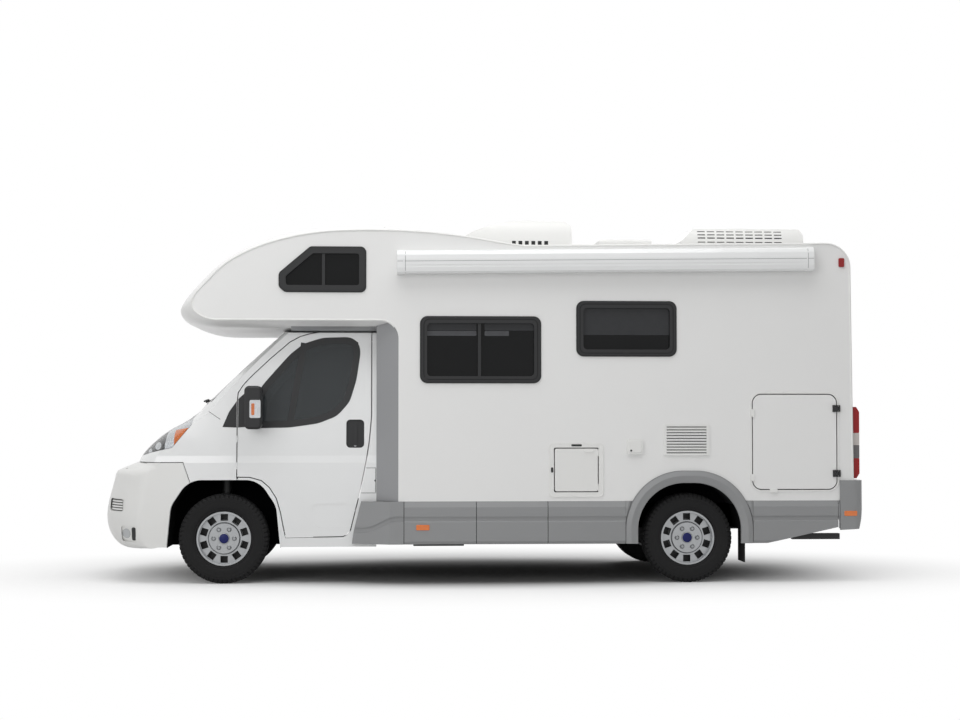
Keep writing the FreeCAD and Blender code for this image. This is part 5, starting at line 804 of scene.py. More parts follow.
class MOTORHOME_OT_cab_trim(bpy.types.Operator):
    """Window seals, corner panels, mirror glass, lamps' markers, wheel arch liners and wipers"""
    bl_idname = "motorhome.cab_trim"
    bl_label = "Cab trim"

    def execute(self, context):
        window = smoothed(resampled(WINDOW_OUTLINE, 0.02, True), 3)
        middle = np.mean(window, axis=0)
        window = middle + (window - middle) * SEAL_SHARE
        door = "cab_door_{}"
        both_sides("door_window_seal", band_shape(window, 0.056, SIDE_NODES, 0.0015), "trim", door)
        post = band_shape(resampled(WINDOW_POST, 0.02, False), 0.052, SIDE_NODES, 0.002, closed=False)
        both_sides("door_window_post", post, "trim", door)
        corner = resampled(DOOR_TRIANGLE, 0.02, True)
        both_sides("door_corner_panel", patch_shape(corner, SIDE_NODES, 0.0015), "trim", door)
        corner = resampled(WING_TRIANGLE, 0.02, True)
        both_sides("wing_corner_panel", patch_shape(corner, PILLAR_NODES, 0.0015), "trim")
        both_sides("arch_liner", liner_shape(FRONT_ARCH, 0.200, 0.290, -0.966, -0.572), "liner")
        both_sides("rear_arch_liner", liner_shape(REAR_ARCH, ARCH_CORNER, 0.640, -1.118, -0.815), "liner")
        lens, bulb = (-1882.0, 1350.0, 88.0, 144.0), (-1868.0, 1372.0, 26.0, 96.0)
        both_sides("mirror_indicator", wall_plate(lens, 1300.0, 3.0, 12.0, 1.0), "lens", door)
        both_sides("mirror_reflector", wall_plate(lens, 1300.0, 0.8, 12.0, 0.5), "reflector", door)
        both_sides("mirror_bulb", wall_plate(bulb, 1300.0, 1.6, 10.0, 0.5), "amber", door, slot="lamp_lens")
        glass = box_shape((-1.7925, -1.262, 1.302), (-1.7895, -1.128, 1.566))
        both_sides("mirror_glass", glass, "mirror", door, smooth=False)
        seam = resampled([(-2.241, 1.408), (-2.140, 1.338)], 0.012, False)
        joint = band_shape(seam, 0.004, PILLAR_NODES, 0.0004, closed=False, thickness=0.002)
        both_sides("pillar_joint", joint, "trim")
        lock = turned([(0.011, -0.002), (0.011, 0.003), (0.009, 0.004), (0.0, 0.004)], (-1.0415, -1.006, 1.128), 24)
        both_sides("door_lock", lock, "aluminium", door)
        self.lamp_housings()
        self.bumper_inserts()
        self.screen_band()
        self.soft_bumper()
        self.cowl()
        self.wipers()
        return {"FINISHED"}

    def lamp_housings(self):
        """The outside of each headlamp again, moved in by 3 mm along its normals: the parts behind the clear lens.

        A face counts as outside where it looks forward, up or sideways: 0.5 (nz - nx) + n sideways is over 0.25.
        """
        mesh = bmesh.new()
        mesh.from_mesh(NODES["headlamps"].data)
        bmesh.ops.remove_doubles(mesh, verts=mesh.verts, dist=1e-5)
        mesh.normal_update()
        outside = []
        for face in mesh.faces:
            middle = face.calc_center_median()
            n = face.normal
            sideways = n.y * (1 if middle.y > 0 else -1)
            if n.x * -0.5 + n.z * 0.5 + sideways > 0.25 and sideways > -0.2:
                outside.append(face)
        corners = sorted({v for face in outside for v in face.verts}, key=lambda v: v.index)
        number = {v: i for i, v in enumerate(corners)}
        points = [tuple(v.co - v.normal * 0.003) for v in corners]
        faces = [tuple(number[v] for v in face.verts) for face in outside]
        mesh.free()
        piece("headlamp_insides", (points, faces), "lamp_inside")

    def bumper_inserts(self):
        """Dark panels in the bumper's side recesses: the slot's slats, and the fog lamp's frame and lens."""
        x, z, length, height = (v * MM for v in (-3059.0, 588.0, 127.0, 95.0))
        slot = resampled(rounded_rectangle(x, z, length, height, 0.020), 0.012, True)
        both_sides("bumper_slot", patch_shape(slot, BUMPER_NODES, 0.002), "trim")
        for k in range(4):
            level = z + 0.015 + 0.0215 * k
            bar = resampled([(x + 0.006, level), (x + length - 0.006, level)], 0.012, False)
            bar = band_shape(bar, 0.013, BUMPER_NODES, 0.008, closed=False, thickness=0.007)
            both_sides(f"bumper_slat_{k}", bar, "plastic")
        x, z, length, height = (v * MM for v in (-2856.0, 352.0, 36.0, 108.0))
        fog = resampled(rounded_rectangle(x, z, length, height, 0.014), 0.010, True)
        both_sides("fog_frame", patch_shape(fog, BUMPER_NODES, 0.002), "trim")
        lens = [np.array((-2.905 + 0.038 * math.cos(a), 0.408 + 0.040 * math.sin(a)))
                for a in np.linspace(0, 2 * math.pi, 32, endpoint=False)]
        both_sides("fog_lens", patch_shape(lens, BUMPER_NODES, 0.004), "lens_dull")

    def cowl(self):
        """A black slatted panel over the bonnet's rear edge, laid on it from above, and the slats across it.

        The edge is at x = -2.314 - 0.1 (y / 0.7)^4, and each part lies between two distances in front of it.
        """
        across = np.linspace(-0.672, 0.672, 57)
        for name, start, end, lift, key in (("panel", 0.088, 0.012, 0.0025, "trim"),
                                            ("slat_front", 0.075, 0.067, 0.0075, "gloss_black"),
                                            ("slat_middle", 0.054, 0.046, 0.0075, "gloss_black"),
                                            ("slat_rear", 0.033, 0.025, 0.0075, "gloss_black")):
            points = []
            for y in across:
                rear = -2.314 - 0.10 * (y / 0.70) ** 4
                for share in np.linspace(0, 1, 6):
                    x = rear - start + (start - end) * share
                    points.append((x, y, top_z(("bonnet",), x, y) + lift))
            piece("bonnet_rear_" + name, (points, grid_faces(len(across), 6)), key, "bonnet")

    def screen_band(self):
        """The black printed band round the windscreen's edge: a path in Y and Z, laid on the glass along X.

        Its three rails are at p - 0.055 (s - 0.5) n for s = 0, 0.5 and 1, with n away from the middle.
        """
        corners = [(-0.82, 1.512), (0.82, 1.512), (0.76, 1.80), (0.695, 1.995), (-0.695, 1.995), (-0.76, 1.80)]
        path = smoothed(resampled(corners, 0.04, True), 2)
        middle = np.mean(path, axis=0)
        rails = []
        for share in (0.0, 0.5, 1.0):
            rail = []
            for p in path:
                away = p - middle
                q = p - away / np.linalg.norm(away) * 0.055 * (share - 0.5)
                hit = front_x(("windscreen",), q[0], q[1])
                if hit is None:
                    hit = front_x(("cab_shell", "windscreen"), q[0], q[1])
                rail.append((hit - 0.0022, q[0], q[1]))
            rails.append(rail)
        points = [p for rail in rails for p in rail]
        piece("windscreen_band", (points, grid_faces(3, len(path), close_columns=True)), "gloss_black")

    def soft_bumper(self):
        """The front bumper again with its blunt creases eased.

        Edges near a crease of 9 to 72 degrees are parted until they are short. Then each point within reach of one
        moves towards the middle of its neighbours, 14 times over, by the share 0.5 f (1 - d / reach): d is its
        distance from the crease, and f falls to 0 at the sharper edges, which stay.
        """
        reach, longest = 0.035, 0.022
        mesh = bmesh.new()
        mesh.from_mesh(NODES["front_bumper"].data)
        bmesh.ops.remove_doubles(mesh, verts=mesh.verts, dist=2e-5)
        bmesh.ops.dissolve_degenerate(mesh, edges=mesh.edges, dist=2e-5)

        def creases(low, high):
            """The two ends of each edge between two faces that meet at an angle in this range, in degrees."""
            return [(e.verts[0].co.copy(), e.verts[1].co.copy()) for e in mesh.edges
                    if len(e.link_faces) == 2 and low < math.degrees(e.calc_face_angle(0.0)) < high
                    and e.calc_length() > 0.004]

        def samples(pairs, step=0.008):
            """A search tree of points along lines."""
            spots = []
            for a, b in pairs:
                count = max(2, int((b - a).length / step))
                spots.extend([a.lerp(b, k / (count - 1)) for k in range(count)])
            tree = KDTree(len(spots))
            for i, spot in enumerate(spots):
                tree.insert(spot, i)
            tree.balance()
            return tree
        soft_tree, hard_tree = samples(creases(9.0, 72.0)), samples(creases(72.0, 181.0))
        for _ in range(4):
            longer = [e for e in mesh.edges if e.calc_length() > longest
                      and min(soft_tree.find(v.co)[2] for v in e.verts) < 0.05]
            if not longer:
                break
            bmesh.ops.subdivide_edges(mesh, edges=longer, cuts=1)
            bmesh.ops.triangulate(mesh, faces=[f for f in mesh.faces if len(f.verts) > 3])
        for _ in range(14):
            moved = {}
            for v in mesh.verts:
                near = soft_tree.find(v.co)[2]
                if near < reach:
                    freedom = min(1.0, max(0.0, (hard_tree.find(v.co)[2] - 0.004) / 0.03))
                    share = 0.5 * freedom * (1 - near / reach)
                    if share > 0.0:
                        middle = sum((e.other_vert(v).co for e in v.link_edges), v.co * 0) / len(v.link_edges)
                        moved[v] = v.co.lerp(middle, share)
            for v, place in moved.items():
                v.co = place
        mesh.verts.index_update()
        points = [tuple(v.co) for v in mesh.verts]
        faces = [tuple(v.index for v in f.verts) for f in mesh.faces]
        mesh.free()
        made = piece("front_bumper_skin", (points, faces), "plastic", sharp=40.0)
        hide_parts("front_bumper")

    def wipers(self):
        """Two arms at the foot of the windscreen, each with a blade that lies on the glass.

        Both follow the glass from one end of the blade to the other, and the arm bows out by 0.012 sin(pi s).
        """
        for name, start, end in (("left", (-0.62, 1.476), (0.06, 1.505)),
                                 ("right", (0.06, 1.476), (0.66, 1.505))):
            blade, arm = [], []
            for share in np.linspace(0, 1, 14):
                y, z = (a + (b - a) * share for a, b in zip(start, end))
                x = front_x(("windscreen", "cab_shell"), y, z)
                blade.append((x - 0.010, y, z + 0.006))
                arm.append((x - 0.026 - 0.012 * math.sin(math.pi * share), y, z + 0.012))
            piece("wiper_blade_" + name, tube_shape(blade, 0.008, 6), "rubber")
            piece("wiper_arm_" + name, tube_shape(arm[:9], 0.007, 8), "trim")


# Living body
def wall_edge(name, y):
    """The outer edge of a side wall, as points in order, read from the CAD mesh."""
    mesh = bmesh.new()
    mesh.from_mesh(NODES[name].data)
    bmesh.ops.remove_doubles(mesh, verts=mesh.verts, dist=1e-5)
    edges = {}
    for edge in mesh.edges:
        faces = edge.link_faces
        if len(faces) != 2 or abs(edge.verts[0].co.y - y) > 1e-4 or abs(edge.verts[1].co.y - y) > 1e-4:
            continue
        flat = [abs(face.normal.y) > 0.99 for face in faces]
        if flat[0] != flat[1]:
            first, second = edge.verts
            edges.setdefault(first.index, []).append(second.index)
            edges.setdefault(second.index, []).append(first.index)
    places = {v.index: v.co.copy() for v in mesh.verts}
    mesh.free()
    start = min(edges, key=lambda i: places[i].x)
    loop, here, before = [start], edges[start][0], start
    while here != start:
        loop.append(here)
        following = [i for i in edges[here] if i != before]
        before, here = here, following[0]
    return [places[i] for i in loop]


def skirt_y(x, z):
    """The skirt's outside at a height, or at the nearest height below that it has."""
    for lower in range(20):
        y = side_y(("side_skirts",), x, z - 0.001 * lower)
        if y is not None:
            return y
    return -1.170


# Plates in mm: x, z, length and height, then how far out the wall is, how proud the plate, its radius and bevel
SIDE_MARKERS = (((-545.0, 440.0, 108.0, 44.0), 1170.0, 5.0, 8.0, 2.0),
                ((2972.0, 545.0, 108.0, 42.0), 1168.0, 5.0, 8.0, 2.0))
GARAGE_CATCH = (1156.0, 9.0, 9.0, 1.5, -0.3)    # the last value leaves 0.3 mm to the wall, which it swings past
LEFT_PLATES = {
    "window_catch_one_left": ("trim", "vehicle", (-480.0, 1668.0, 46.0, 14.0), 1150.0, 18.0, 5.0),
    "garage_catch_0": ("plastic", "garage_door", (2198.0, 833.0, 34.0, 58.0), *GARAGE_CATCH),
    "garage_catch_1": ("plastic", "garage_door", (2198.0, 1358.0, 34.0, 65.0), *GARAGE_CATCH),
    "garage_catch_2": ("plastic", "garage_door", (2355.0, 737.0, 66.0, 30.0), *GARAGE_CATCH),
    "toilet_slot": ("trim", "vehicle", (720.0, 1118.0, 86.0, 17.0), 1156.0, 2.0),
    "toilet_lock": ("trim", "vehicle", (553.0, 905.0, 18.0, 42.0), 1156.0, 6.0, 8.0),
    "toilet_latch": ("plastic", "toilet_door", (826.0, 1068.0, 76.0, 22.0), 1156.0, 7.0, 8.0),
    "inlet_lid": ("plastic", "vehicle", (1192.0, 1066.0, 102.0, 98.0), 1170.0, 5.0, 10.0, 3.0)}
HINGE_HEIGHTS = (865.0, 1399.0)
HINGE_HEIGHT, HINGE_PIN = 57.0, (2.917, -1.168)
TRIM_WIDTH = 0.100          # of the rear arch trims


class MOTORHOME_OT_body_trim(bpy.types.Operator):
    """Edge beads, window catches, hatch locks and hinges, markers and reflectors"""
    bl_idname = "motorhome.body_trim"
    bl_label = "Living body trim"

    def execute(self, context):
        for side, name in SIDES:
            self.edge_bead(side, name)
        for k, plate in enumerate(SIDE_MARKERS):
            both_sides(f"side_marker_{k}", wall_plate(*plate), "amber")
        both_sides("rear_marker", wall_plate((2941.0, 2596.0, 46.0, 74.0), 1150.0, 14.0, 10.0), "red")
        both_sides("window_catch_two", wall_plate((1150.0, 1880.0, 46.0, 14.0), 1150.0, 18.0, 5.0), "trim")
        for name, (key, body, *plate) in LEFT_PLATES.items():
            piece(name, wall_plate(*plate), key, body)
        for k, z in enumerate(HINGE_HEIGHTS):
            for part, x, length, body in (("cover", 2882.0, 25.0, "garage_door"), ("foot", 2928.5, 16.0, "vehicle")):
                plate = wall_plate((x, z, length, HINGE_HEIGHT), 1156.0, 14.0, 4.0)
                piece(f"garage_hinge_{part}_{k}", plate, "trim", body)
            pin = tube_shape([(*HINGE_PIN, z * MM), (*HINGE_PIN, (z + HINGE_HEIGHT) * MM)], 0.0095, 20)
            piece(f"garage_hinge_sleeve_{k}", pin, "trim", "garage_door")
        lock = turned([(0.008, -0.001), (0.008, 0.003), (0.006, 0.004), (0.0, 0.004)], (1.209, -1.175, 1.084), 24)
        piece("inlet_lock", lock, "trim")
        handle = wall_plate((245.0, 1330.0, 34.0, 150.0), 1156.0, 26.0, 14.0, 5.0)
        piece("entry_handle", mirrored_y(handle), "trim", "entry_door")
        lock = wall_plate((240.0, 1180.0, 44.0, 90.0), 1156.0, 5.0, 14.0, 2.0)
        piece("entry_lock", mirrored_y(lock), "aluminium", "entry_door")
        outline = resampled(rounded_rectangle(0.543, 0.710, 0.436, 0.432, 0.034, 8), 0.03, True)
        bead = tube_shape(at_depth(outline, -1.1545), 0.0035, 8, closed=True)
        piece("toilet_frame_bead", bead, "plastic")
        self.dark_backs()
        self.blinds()
        self.window_seals()
        self.arch_camber()
        self.skirt_seams()
        self.fuel_flap()
        self.awning_lines()
        self.skirt_ends()
        return {"FINISHED"}

    def edge_bead(self, side, name):
        """A round bead along the wall's edge, in runs: at the alcove, along the roof and down the rear."""
        edge = wall_edge("side_wall_" + name, side * 1.150)
        loop = resampled([(p.x, side * 1.147, p.z) for p in edge], 0.04, True)
        shown = [p[0] < -0.715 and p[2] > 1.9 or p[2] > 2.30 or p[0] > 2.98 and p[2] > 0.72 for p in loop]
        start = shown.index(False)
        runs = [[]]
        for p, seen in zip(loop[start:] + loop[:start], shown[start:] + shown[:start]):
            if seen:
                runs[-1].append(p)
            elif runs[-1]:
                runs.append([])
        shapes = [tube_shape(run, 0.009, 8) for run in runs if len(run) > 2]
        piece("edge_bead_" + name, joined(shapes), "plastic")

    def skirt_ends(self):
        """Grey pieces that carry the skirts' section on up to the arch trims and to the rear bumper.

        Each is a strip in rows of height: from the skirt's end to the trim's outline, whose half width at z is
        that of the round corner, cx + sqrt(R^2 - (z - cz)^2), with the skirt's own depth at that height.
        """
        half, radius = ARCH_HALF + TRIM_WIDTH, ARCH_CORNER + TRIM_WIDTH
        corner_x, corner_z = half - radius, ARCH_TOP + TRIM_WIDTH - radius
        heights = np.linspace(0.506, 0.6715, 30)
        for where, sign, sample_x in (("front", -1, 1.155), ("rear", 1, 2.225)):
            points = []
            for z in heights:
                y = skirt_y(sample_x, z)
                rise = max(0.0, z - corner_z)
                reach = corner_x + math.sqrt(max(radius ** 2 - rise ** 2, 0.0))
                points += [(REAR_AXLE_X + sign * x, y, z) for x in (half + 0.003, reach + 0.004)]
            faces = grid_faces(len(heights), 2)
            strip = points, faces if sign > 0 else flipped(faces)
            thicken(both_sides("skirt_end_" + where, strip, "skirt"), 0.003)
        points = []
        for z in np.linspace(0.445, 0.6715, 40):
            y = skirt_y(2.915, z)
            points += [(2.926, y, z), (2.9365, y, z)]
        thicken(both_sides("skirt_end_bumper", (points, flipped(grid_faces(40, 2))), "skirt"), 0.003)

    def blinds(self):
        """The blind cassettes seen through the panes, as a grey band at the head of each side window."""
        for name, key, x, z, length, height in (("bar_one_front", "blind", -0.462, 2.020, 0.408, 0.040),
                                                ("bar_one_rear", "blind", 0.012, 2.020, 0.200, 0.040),
                                                ("one_front", "shade", -0.462, 2.064, 0.408, 0.062),
                                                ("one_rear", "shade", 0.012, 2.064, 0.408, 0.062),
                                                ("two", "shade", 0.812, 2.030, 0.728, 0.230)):
            y = side_y(("window_panes",), x + length / 2, z + height / 2)
            outline = rounded_rectangle(x, z, length, height, 0.008)
            shape = plate_shape(outline, y + 0.001, y - 0.0012, 0.0004)
            piece("blind_" + name, shape, key)
            if name == "two":
                piece("blind_two_right", mirrored_y(shape), key)

    def skirt_seams(self):
        """A dark strip in each gap between two skirts, 4 mm behind their face, y(z) + 0.004 at each height."""
        strips = []
        heights = np.linspace(0.327, 0.668, 40)
        for middle in (-0.644, -0.056, 0.528):
            points = []
            for x in (middle - 0.0032, middle + 0.0032):
                points += [(x, skirt_y(middle + 0.020, z) + 0.004, z) for z in heights]
            strips.append((points, grid_faces(2, len(heights))))
        thicken(both_sides("skirt_seams", joined(strips), "rubber"), 0.002, 0.0)

    def fuel_flap(self):
        """The joint round the fuel flap: above, behind and below it, up to the cab door's edge, and its catch."""
        path = resampled([(-0.951, 0.942), (-0.873, 0.942), (-0.873, 0.737), (-0.992, 0.737)], 0.012, False)
        joint = band_shape(path, 0.005, ("cab_shell",), 0.0006, closed=False, thickness=0.002)
        piece("fuel_flap_joint", joint, "trim")
        y = side_y(("cab_shell",), -0.885, 0.838)
        catch = turned([(0.007, -0.001), (0.007, 0.002), (0.005, 0.003), (0.0, 0.003)], (-0.878, y, 0.838), 20)
        piece("fuel_flap_catch", catch, "trim")

    def arch_camber(self):
        """The rear arch trims' raised face: an upper bevel that looks up, and a lower face that falls back.

        Rows at a distance w from the opening follow its foot, x = half + w, and its round corner,
        (cx + (R + w) cos a, cz + (R + w) sin a), both to the front and to the rear of the axle.
        """
        foot, face_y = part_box("rear_arch_trims")[0][2] + 0.002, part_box("rear_arch_trims")[0][1]
        corner_x, corner_z = ARCH_HALF - ARCH_CORNER, ARCH_TOP - ARCH_CORNER
        section = ((0.004, -0.001), (0.004, 0.002), (0.056, 0.016), (0.060, 0.016), (0.097, 0.001), (0.097, -0.001))
        upright, turn = np.linspace(foot, corner_z, 8)[:-1], np.linspace(0, math.pi / 2, 40)
        lines = []
        for w, out in section:
            x = np.append(np.full(len(upright), ARCH_HALF + w), corner_x + (ARCH_CORNER + w) * np.cos(turn))
            z = np.append(upright, corner_z + (ARCH_CORNER + w) * np.sin(turn))
            line = np.stack((REAR_AXLE_X + np.append(-x, x[::-1]), np.append(z, z[::-1])), axis=1)
            lines.append(at_depth(line, face_y - out))
        rows, count = len(lines), len(lines[0])
        ends = [tuple(k * count for k in range(rows))[::-1], tuple(k * count + count - 1 for k in range(rows))]
        both_sides("arch_camber", (np.concatenate(lines), grid_faces(rows, count) + ends), "skirt", sharp=9.0)

    def window_seals(self):
        """A rubber line round each hinged pane, in the frame's face: its rounded outline drawn in by 32 mm."""
        inset = 0.032
        for name, x, z, length, height in (("one", -0.516, 1.630, 0.992, 0.557), ("two", 0.760, 1.848, 0.832, 0.466)):
            outline = rounded_rectangle(x + inset, z + inset, length - 2 * inset, height - 2 * inset, 0.045)
            ring = band_shape(resampled(outline, 0.02, True), 0.006, ("window_frames",), 0.0012)
            piece("window_seal_" + name, ring, "rubber")
            if name == "two":
                piece("window_seal_two_right", mirrored_y(ring), "rubber")

    def awning_lines(self):
        """The joint between the awning's case and its front rail, and the seams of its two end caps.

        The case rises a little to the rear, so its height is looked up at each place: the joint runs at 0.54 of it.
        """
        low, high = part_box("awning_case")
        lines, joint = [], []
        case = ("awning_case",)
        for x in (low[0] + 0.004, low[0] + 0.068, high[0] - 0.050, high[0] - 0.004):
            inside = [z for z in np.linspace(low[2], high[2], 120) if side_y(case, x, z) is not None]
            bottom, top = inside[0] + 0.003, inside[-1] - 0.010
            joint.append((x, bottom + 0.54 * (top - bottom)))
            lines.append(((x, bottom), (x, top)))
        lines = [(joint[0], joint[-1])] + lines[1:3]
        shapes = [band_shape(resampled(line, 0.02, False), 0.0035, case, 0.0008, closed=False, thickness=0.002)
                  for line in lines]
        piece("awning_seams", joined(shapes), "skirt")

    def dark_backs(self):
        """Painted shade: black sheets behind the fridge vent's slots and the two roof units' louvres, where the
        openings would be dark with shade, and black plates on the rear unit's face for its upper louvres, as one piece
        each.
        """
        pitch, first = 0.02345, 1.0555
        # Painted shade: a black sheet just behind each slot of the fridge vent, for the shade inside it
        vent = [box_shape((1.505, -1.1575, first + pitch * k), (1.833, -1.1562, first + pitch * k + 0.0117))
                for k in range(10)]
        piece("fridge_vent_painted_shade", joined(vent), "trim", smooth=False)
        columns = [1.772 + 0.144 + 0.084 * c for c in range(9)]
        base = 2.7747
        # Painted shade: black sheets behind the rear unit's lower louvres
        rows = [box_shape((x, -0.3525, base + 0.0205 + 0.020 * r), (x + 0.066, -0.3512, base + 0.0305 + 0.020 * r))
                for r in range(5) for x in columns]
        # Painted shade: black plates laid on the rear unit's face where its upper louvres are, since that face has no
        # openings
        upper = []
        for z in (2.908, 2.936, 2.964):
            for x in columns:
                y = side_y(("air_conditioners",), x + 0.033, z + 0.005)
                upper.append(box_shape((x, y - 0.0012, z), (x + 0.066, y + 0.001, z + 0.010)))
        # Painted shade: black sheets behind the front unit's slots
        low = 2.7523 + 0.30 * (3.066 - 2.7523)
        slots = [box_shape((0.297 + 0.056 * k, -0.3425, low + 0.0005), (0.331 + 0.056 * k, -0.3412, low + 0.0335))
                 for k in range(6)]
        for name, boxes in (("rear_unit_painted_shade", rows), ("rear_unit_louvres_painted_shade", upper), ("front_unit_painted_shade", slots)):
            piece(name, joined(boxes + [mirrored_y(box) for box in boxes]), "trim", smooth=False)


def end_plate(outline, base, face, bevel, end):
    """A plate on the rear (end 1) or the front (-1): made on the left wall, with y for x, and turned to (-y, x)."""
    points, faces = plate_shape(outline, base, face, bevel)
    return points[:, (1, 0, 2)] * (-end, end, 1), flipped(faces) if end > 0 else faces


AERIAL_SPOT = (-0.803, 0.35)


class MOTORHOME_OT_rear_and_roof(bpy.types.Operator):
    """Blank number plates at the front and rear, rear camera and aerial"""
    bl_idname = "motorhome.rear_and_roof"
    bl_label = "Rear and roof"

    def execute(self, context):
        outline = rounded_rectangle(-0.26, 0.90, 0.52, 0.11, 0.010)
        piece("number_plate", end_plate(outline, -3.046, -3.0555, 0.001, 1), "plastic")
        x = front_x(("front_bumper", "front_grille"), 0.0, 0.615)
        outline = rounded_rectangle(-0.26, 0.560, 0.52, 0.11, 0.010)
        piece("front_plate", end_plate(outline, x + 0.012, max(x - 0.004, -3.1415), 0.001, -1), "plastic")
        outline = rounded_rectangle(-0.07, 2.62, 0.14, 0.05, 0.02)
        piece("rear_camera", end_plate(outline, -3.010, -3.075, 0.012, 1), "trim")
        z = top_z(("alcove_cap",), *AERIAL_SPOT)
        for name, low, high, radius, segments, key in (("aerial_foot", z - 0.01, z + 0.012, 0.030, 24, "trim"),
                                                       ("aerial", z + 0.01, 3.064, 0.010, 12, "plastic")):
            piece(name, tube_shape([(*AERIAL_SPOT, low), (*AERIAL_SPOT, high)], radius, segments), key)
        return {"FINISHED"}


class MOTORHOME_OT_finish_nodes(bpy.types.Operator):
    """Give every node of the frame its finish"""
    bl_idname = "motorhome.finish_nodes"
    bl_label = "Finish the frame"

    def execute(self, context):
        slot_of = {part["node"]: part["material_slot"] for part in frame["record"]["subparts"]}
        for name, thing in NODES.items():
            thing.data.materials.clear()
            thing.data.materials.append(finish(FINISH_OF_NODE.get(name) or FINISH_OF_SLOT[slot_of[name]]))
        return {"FINISHED"}


FLOOR_HALF = 60.0


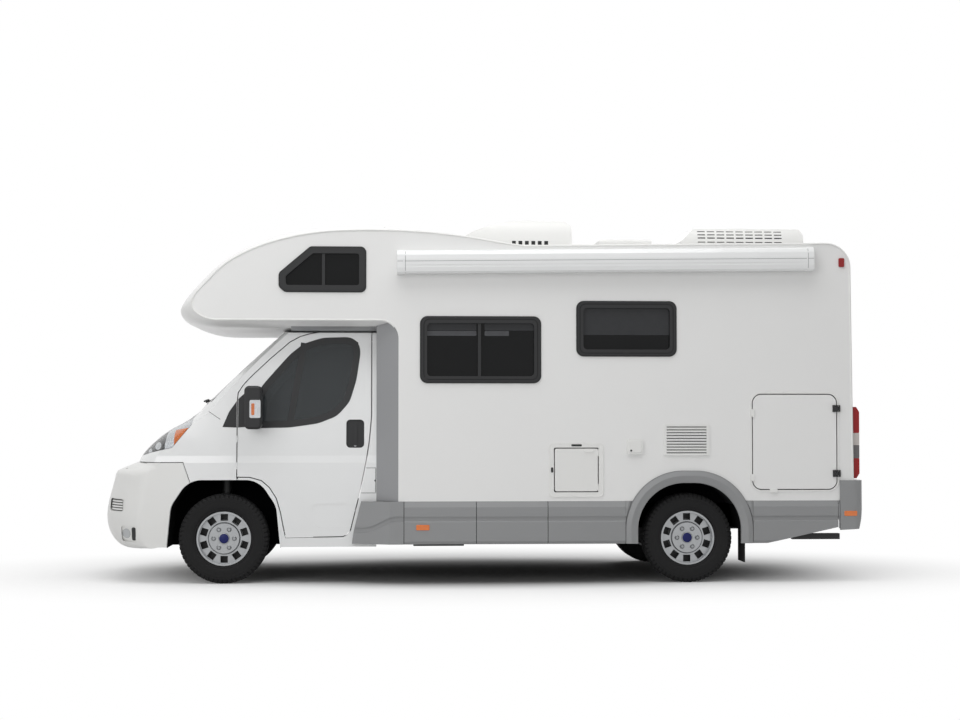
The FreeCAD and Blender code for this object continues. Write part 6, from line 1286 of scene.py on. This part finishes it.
class MOTORHOME_OT_stage(bpy.types.Operator):
    """Camera, floor, backdrop and lights"""
    bl_idname = "motorhome.stage"
    bl_label = "Stage"

    def execute(self, context):
        studio = context.scene.motorhome_studio
        camera = bpy.data.cameras.new("camera")
        camera.lens = studio.lens
        camera.sensor_width = 36.0
        holder = bpy.data.objects.new("camera", camera)
        holder.location = studio.camera_place
        holder.rotation_euler = (math.pi / 2 + studio.camera_pitch, 0.0, studio.camera_yaw)
        context.scene.collection.objects.link(holder)
        context.scene.camera = holder
        self.floor()
        self.world(context.scene, studio.sky)
        self.lamps(context.scene, studio)
        context.scene.view_settings.view_transform = "Standard"
        return {"FINISHED"}

    def floor(self):
        """A pale floor: its colour is painted grey under the vehicle, a painted shadow over the one the lamps cast,
        and it is lit evenly white further out.

        The distance that both fades follow is the length of (0.21 x, 0.36 y).
        """
        corners = [(FLOOR_HALF * x, FLOOR_HALF * y, 0.0) for x, y in ((-1, -1), (1, -1), (1, 1), (-1, 1))]
        floor = put_mesh("floor", corners, [(0, 1, 2, 3)], smooth=False)
        ground = bpy.data.materials.new("pale studio floor")
        ground.use_nodes = True
        tree = ground.node_tree
        tree.nodes.clear()
        place = add(tree, "ShaderNodeVectorMath", {"operation": "MULTIPLY"}, i0=place_of(tree))
        place.inputs[1].default_value = (0.21, 0.36, 0.0)
        far = add(tree, "ShaderNodeVectorMath", {"operation": "LENGTH"}, i0=place.outputs[0])
        far = far.outputs["Value"]
        smooth = {"interpolation_type": "SMOOTHSTEP"}
        fade = add(tree, "ShaderNodeMapRange", {**smooth, "From Min": 0.42, "From Max": 1.12}, Value=far)
        white = add(tree, "ShaderNodeEmission", {"Color": (1, 1, 1, 1), "Strength": 1.0})
        # Painted shadow: the floor's own colour falls from 0.93 to 0.33 towards the middle under the vehicle,
        # darkening the shadow there
        shade = add(tree, "ShaderNodeMapRange", {**smooth, "From Min": 0.30, "From Max": 0.62, "To Min": 0.33,
                                                 "To Max": 0.93}, Value=far)
        near = add(tree, "ShaderNodeBsdfDiffuse", Color=shade.outputs[0])
        mixed = add(tree, "ShaderNodeMixShader", Fac=fade.outputs[0], i1=near.outputs[0], i2=white.outputs[0])
        matt = add(tree, "ShaderNodeBsdfDiffuse", {"Color": (0.72, 0.72, 0.72, 1)})
        shown = add(tree, "ShaderNodeMixShader", Fac=seen_rays(tree), i1=matt.outputs[0], i2=mixed.outputs[0])
        add(tree, "ShaderNodeOutputMaterial", Surface=shown.outputs[0])
        floor.data.materials.append(ground)

    def world(self, scene, sky):
        """Even light from all round, seen as plain white."""
        world = bpy.data.worlds.new("studio")
        world.use_nodes = True
        scene.world = world
        tree = world.node_tree
        tree.nodes.clear()
        soft = add(tree, "ShaderNodeBackground", {"Color": (1, 1, 1, 1), "Strength": sky})
        white = add(tree, "ShaderNodeBackground", {"Color": (1, 1, 1, 1), "Strength": 1.0})
        mix = add(tree, "ShaderNodeMixShader", Fac=seen_rays(tree), i1=soft.outputs[0], i2=white.outputs[0])
        add(tree, "ShaderNodeOutputWorld", Surface=mix.outputs[0])

    def lamps(self, scene, studio):
        """Three soft panels, each turned to a point over the origin.

        With d from the lamp to that point, the tilt is atan2(flat distance, drop) and the turn atan2(-dx, dy).
        """
        for name, place, aim_z, size, power in (
                ("overhead light", (-1.0, -3.0, 9.0), 0.8, (9.0, 7.0), studio.key_power),
                ("side light", (-7.0, -13.0, 5.0), 1.2, (8.0, 6.0), studio.fill_power),
                ("rear light", (5.0, 10.0, 6.0), 1.2, (8.0, 5.0), studio.fill_power)):
            lamp = bpy.data.lights.new(name, "AREA")
            lamp.shape = "RECTANGLE"
            lamp.size, lamp.size_y = size
            lamp.energy = power
            holder = bpy.data.objects.new(name, lamp)
            holder.location = place
            dx, dy, dz = np.array((0.0, 0.0, aim_z)) - np.array(place)
            holder.rotation_euler = (math.atan2(math.hypot(dx, dy), -dz), 0.0, math.atan2(-dx, dy))
            scene.collection.objects.link(holder)


class MOTORHOME_PT_panel(bpy.types.Panel):
    """Buttons for each group of pieces"""
    bl_idname = "MOTORHOME_PT_panel"
    bl_label = "Motorhome"
    bl_space_type = "VIEW_3D"
    bl_region_type = "UI"
    bl_category = "Motorhome"

    def draw(self, context):
        for operator in OPERATORS:
            self.layout.operator(operator.bl_idname)


OPERATORS = (MOTORHOME_OT_finish_nodes, MOTORHOME_OT_wheels, MOTORHOME_OT_cab_trim, MOTORHOME_OT_body_trim,
             MOTORHOME_OT_rear_and_roof, MOTORHOME_OT_stage)
CLASSES = (MotorhomeColours, MotorhomeSizes, MotorhomeStudio, *OPERATORS, MOTORHOME_PT_panel)


def register():
    """Add the settings, the operators and the panel to Blender."""
    for kind in CLASSES:
        bpy.utils.register_class(kind)
    bpy.types.Scene.motorhome_colours = bpy.props.PointerProperty(type=MotorhomeColours)
    bpy.types.Scene.motorhome_sizes = bpy.props.PointerProperty(type=MotorhomeSizes)
    bpy.types.Scene.motorhome_studio = bpy.props.PointerProperty(type=MotorhomeStudio)


def unregister():
    """Take them out again."""
    del bpy.types.Scene.motorhome_studio
    del bpy.types.Scene.motorhome_sizes
    del bpy.types.Scene.motorhome_colours
    for kind in reversed(CLASSES):
        bpy.utils.unregister_class(kind)


def main():
    """Build everything on the frame."""
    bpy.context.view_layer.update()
    register()
    bpy.ops.motorhome.finish_nodes()
    bpy.ops.motorhome.wheels()
    bpy.ops.motorhome.cab_trim()
    bpy.ops.motorhome.body_trim()
    bpy.ops.motorhome.rear_and_roof()
    bpy.ops.motorhome.stage()


if __name__ == "__main__":
    main()
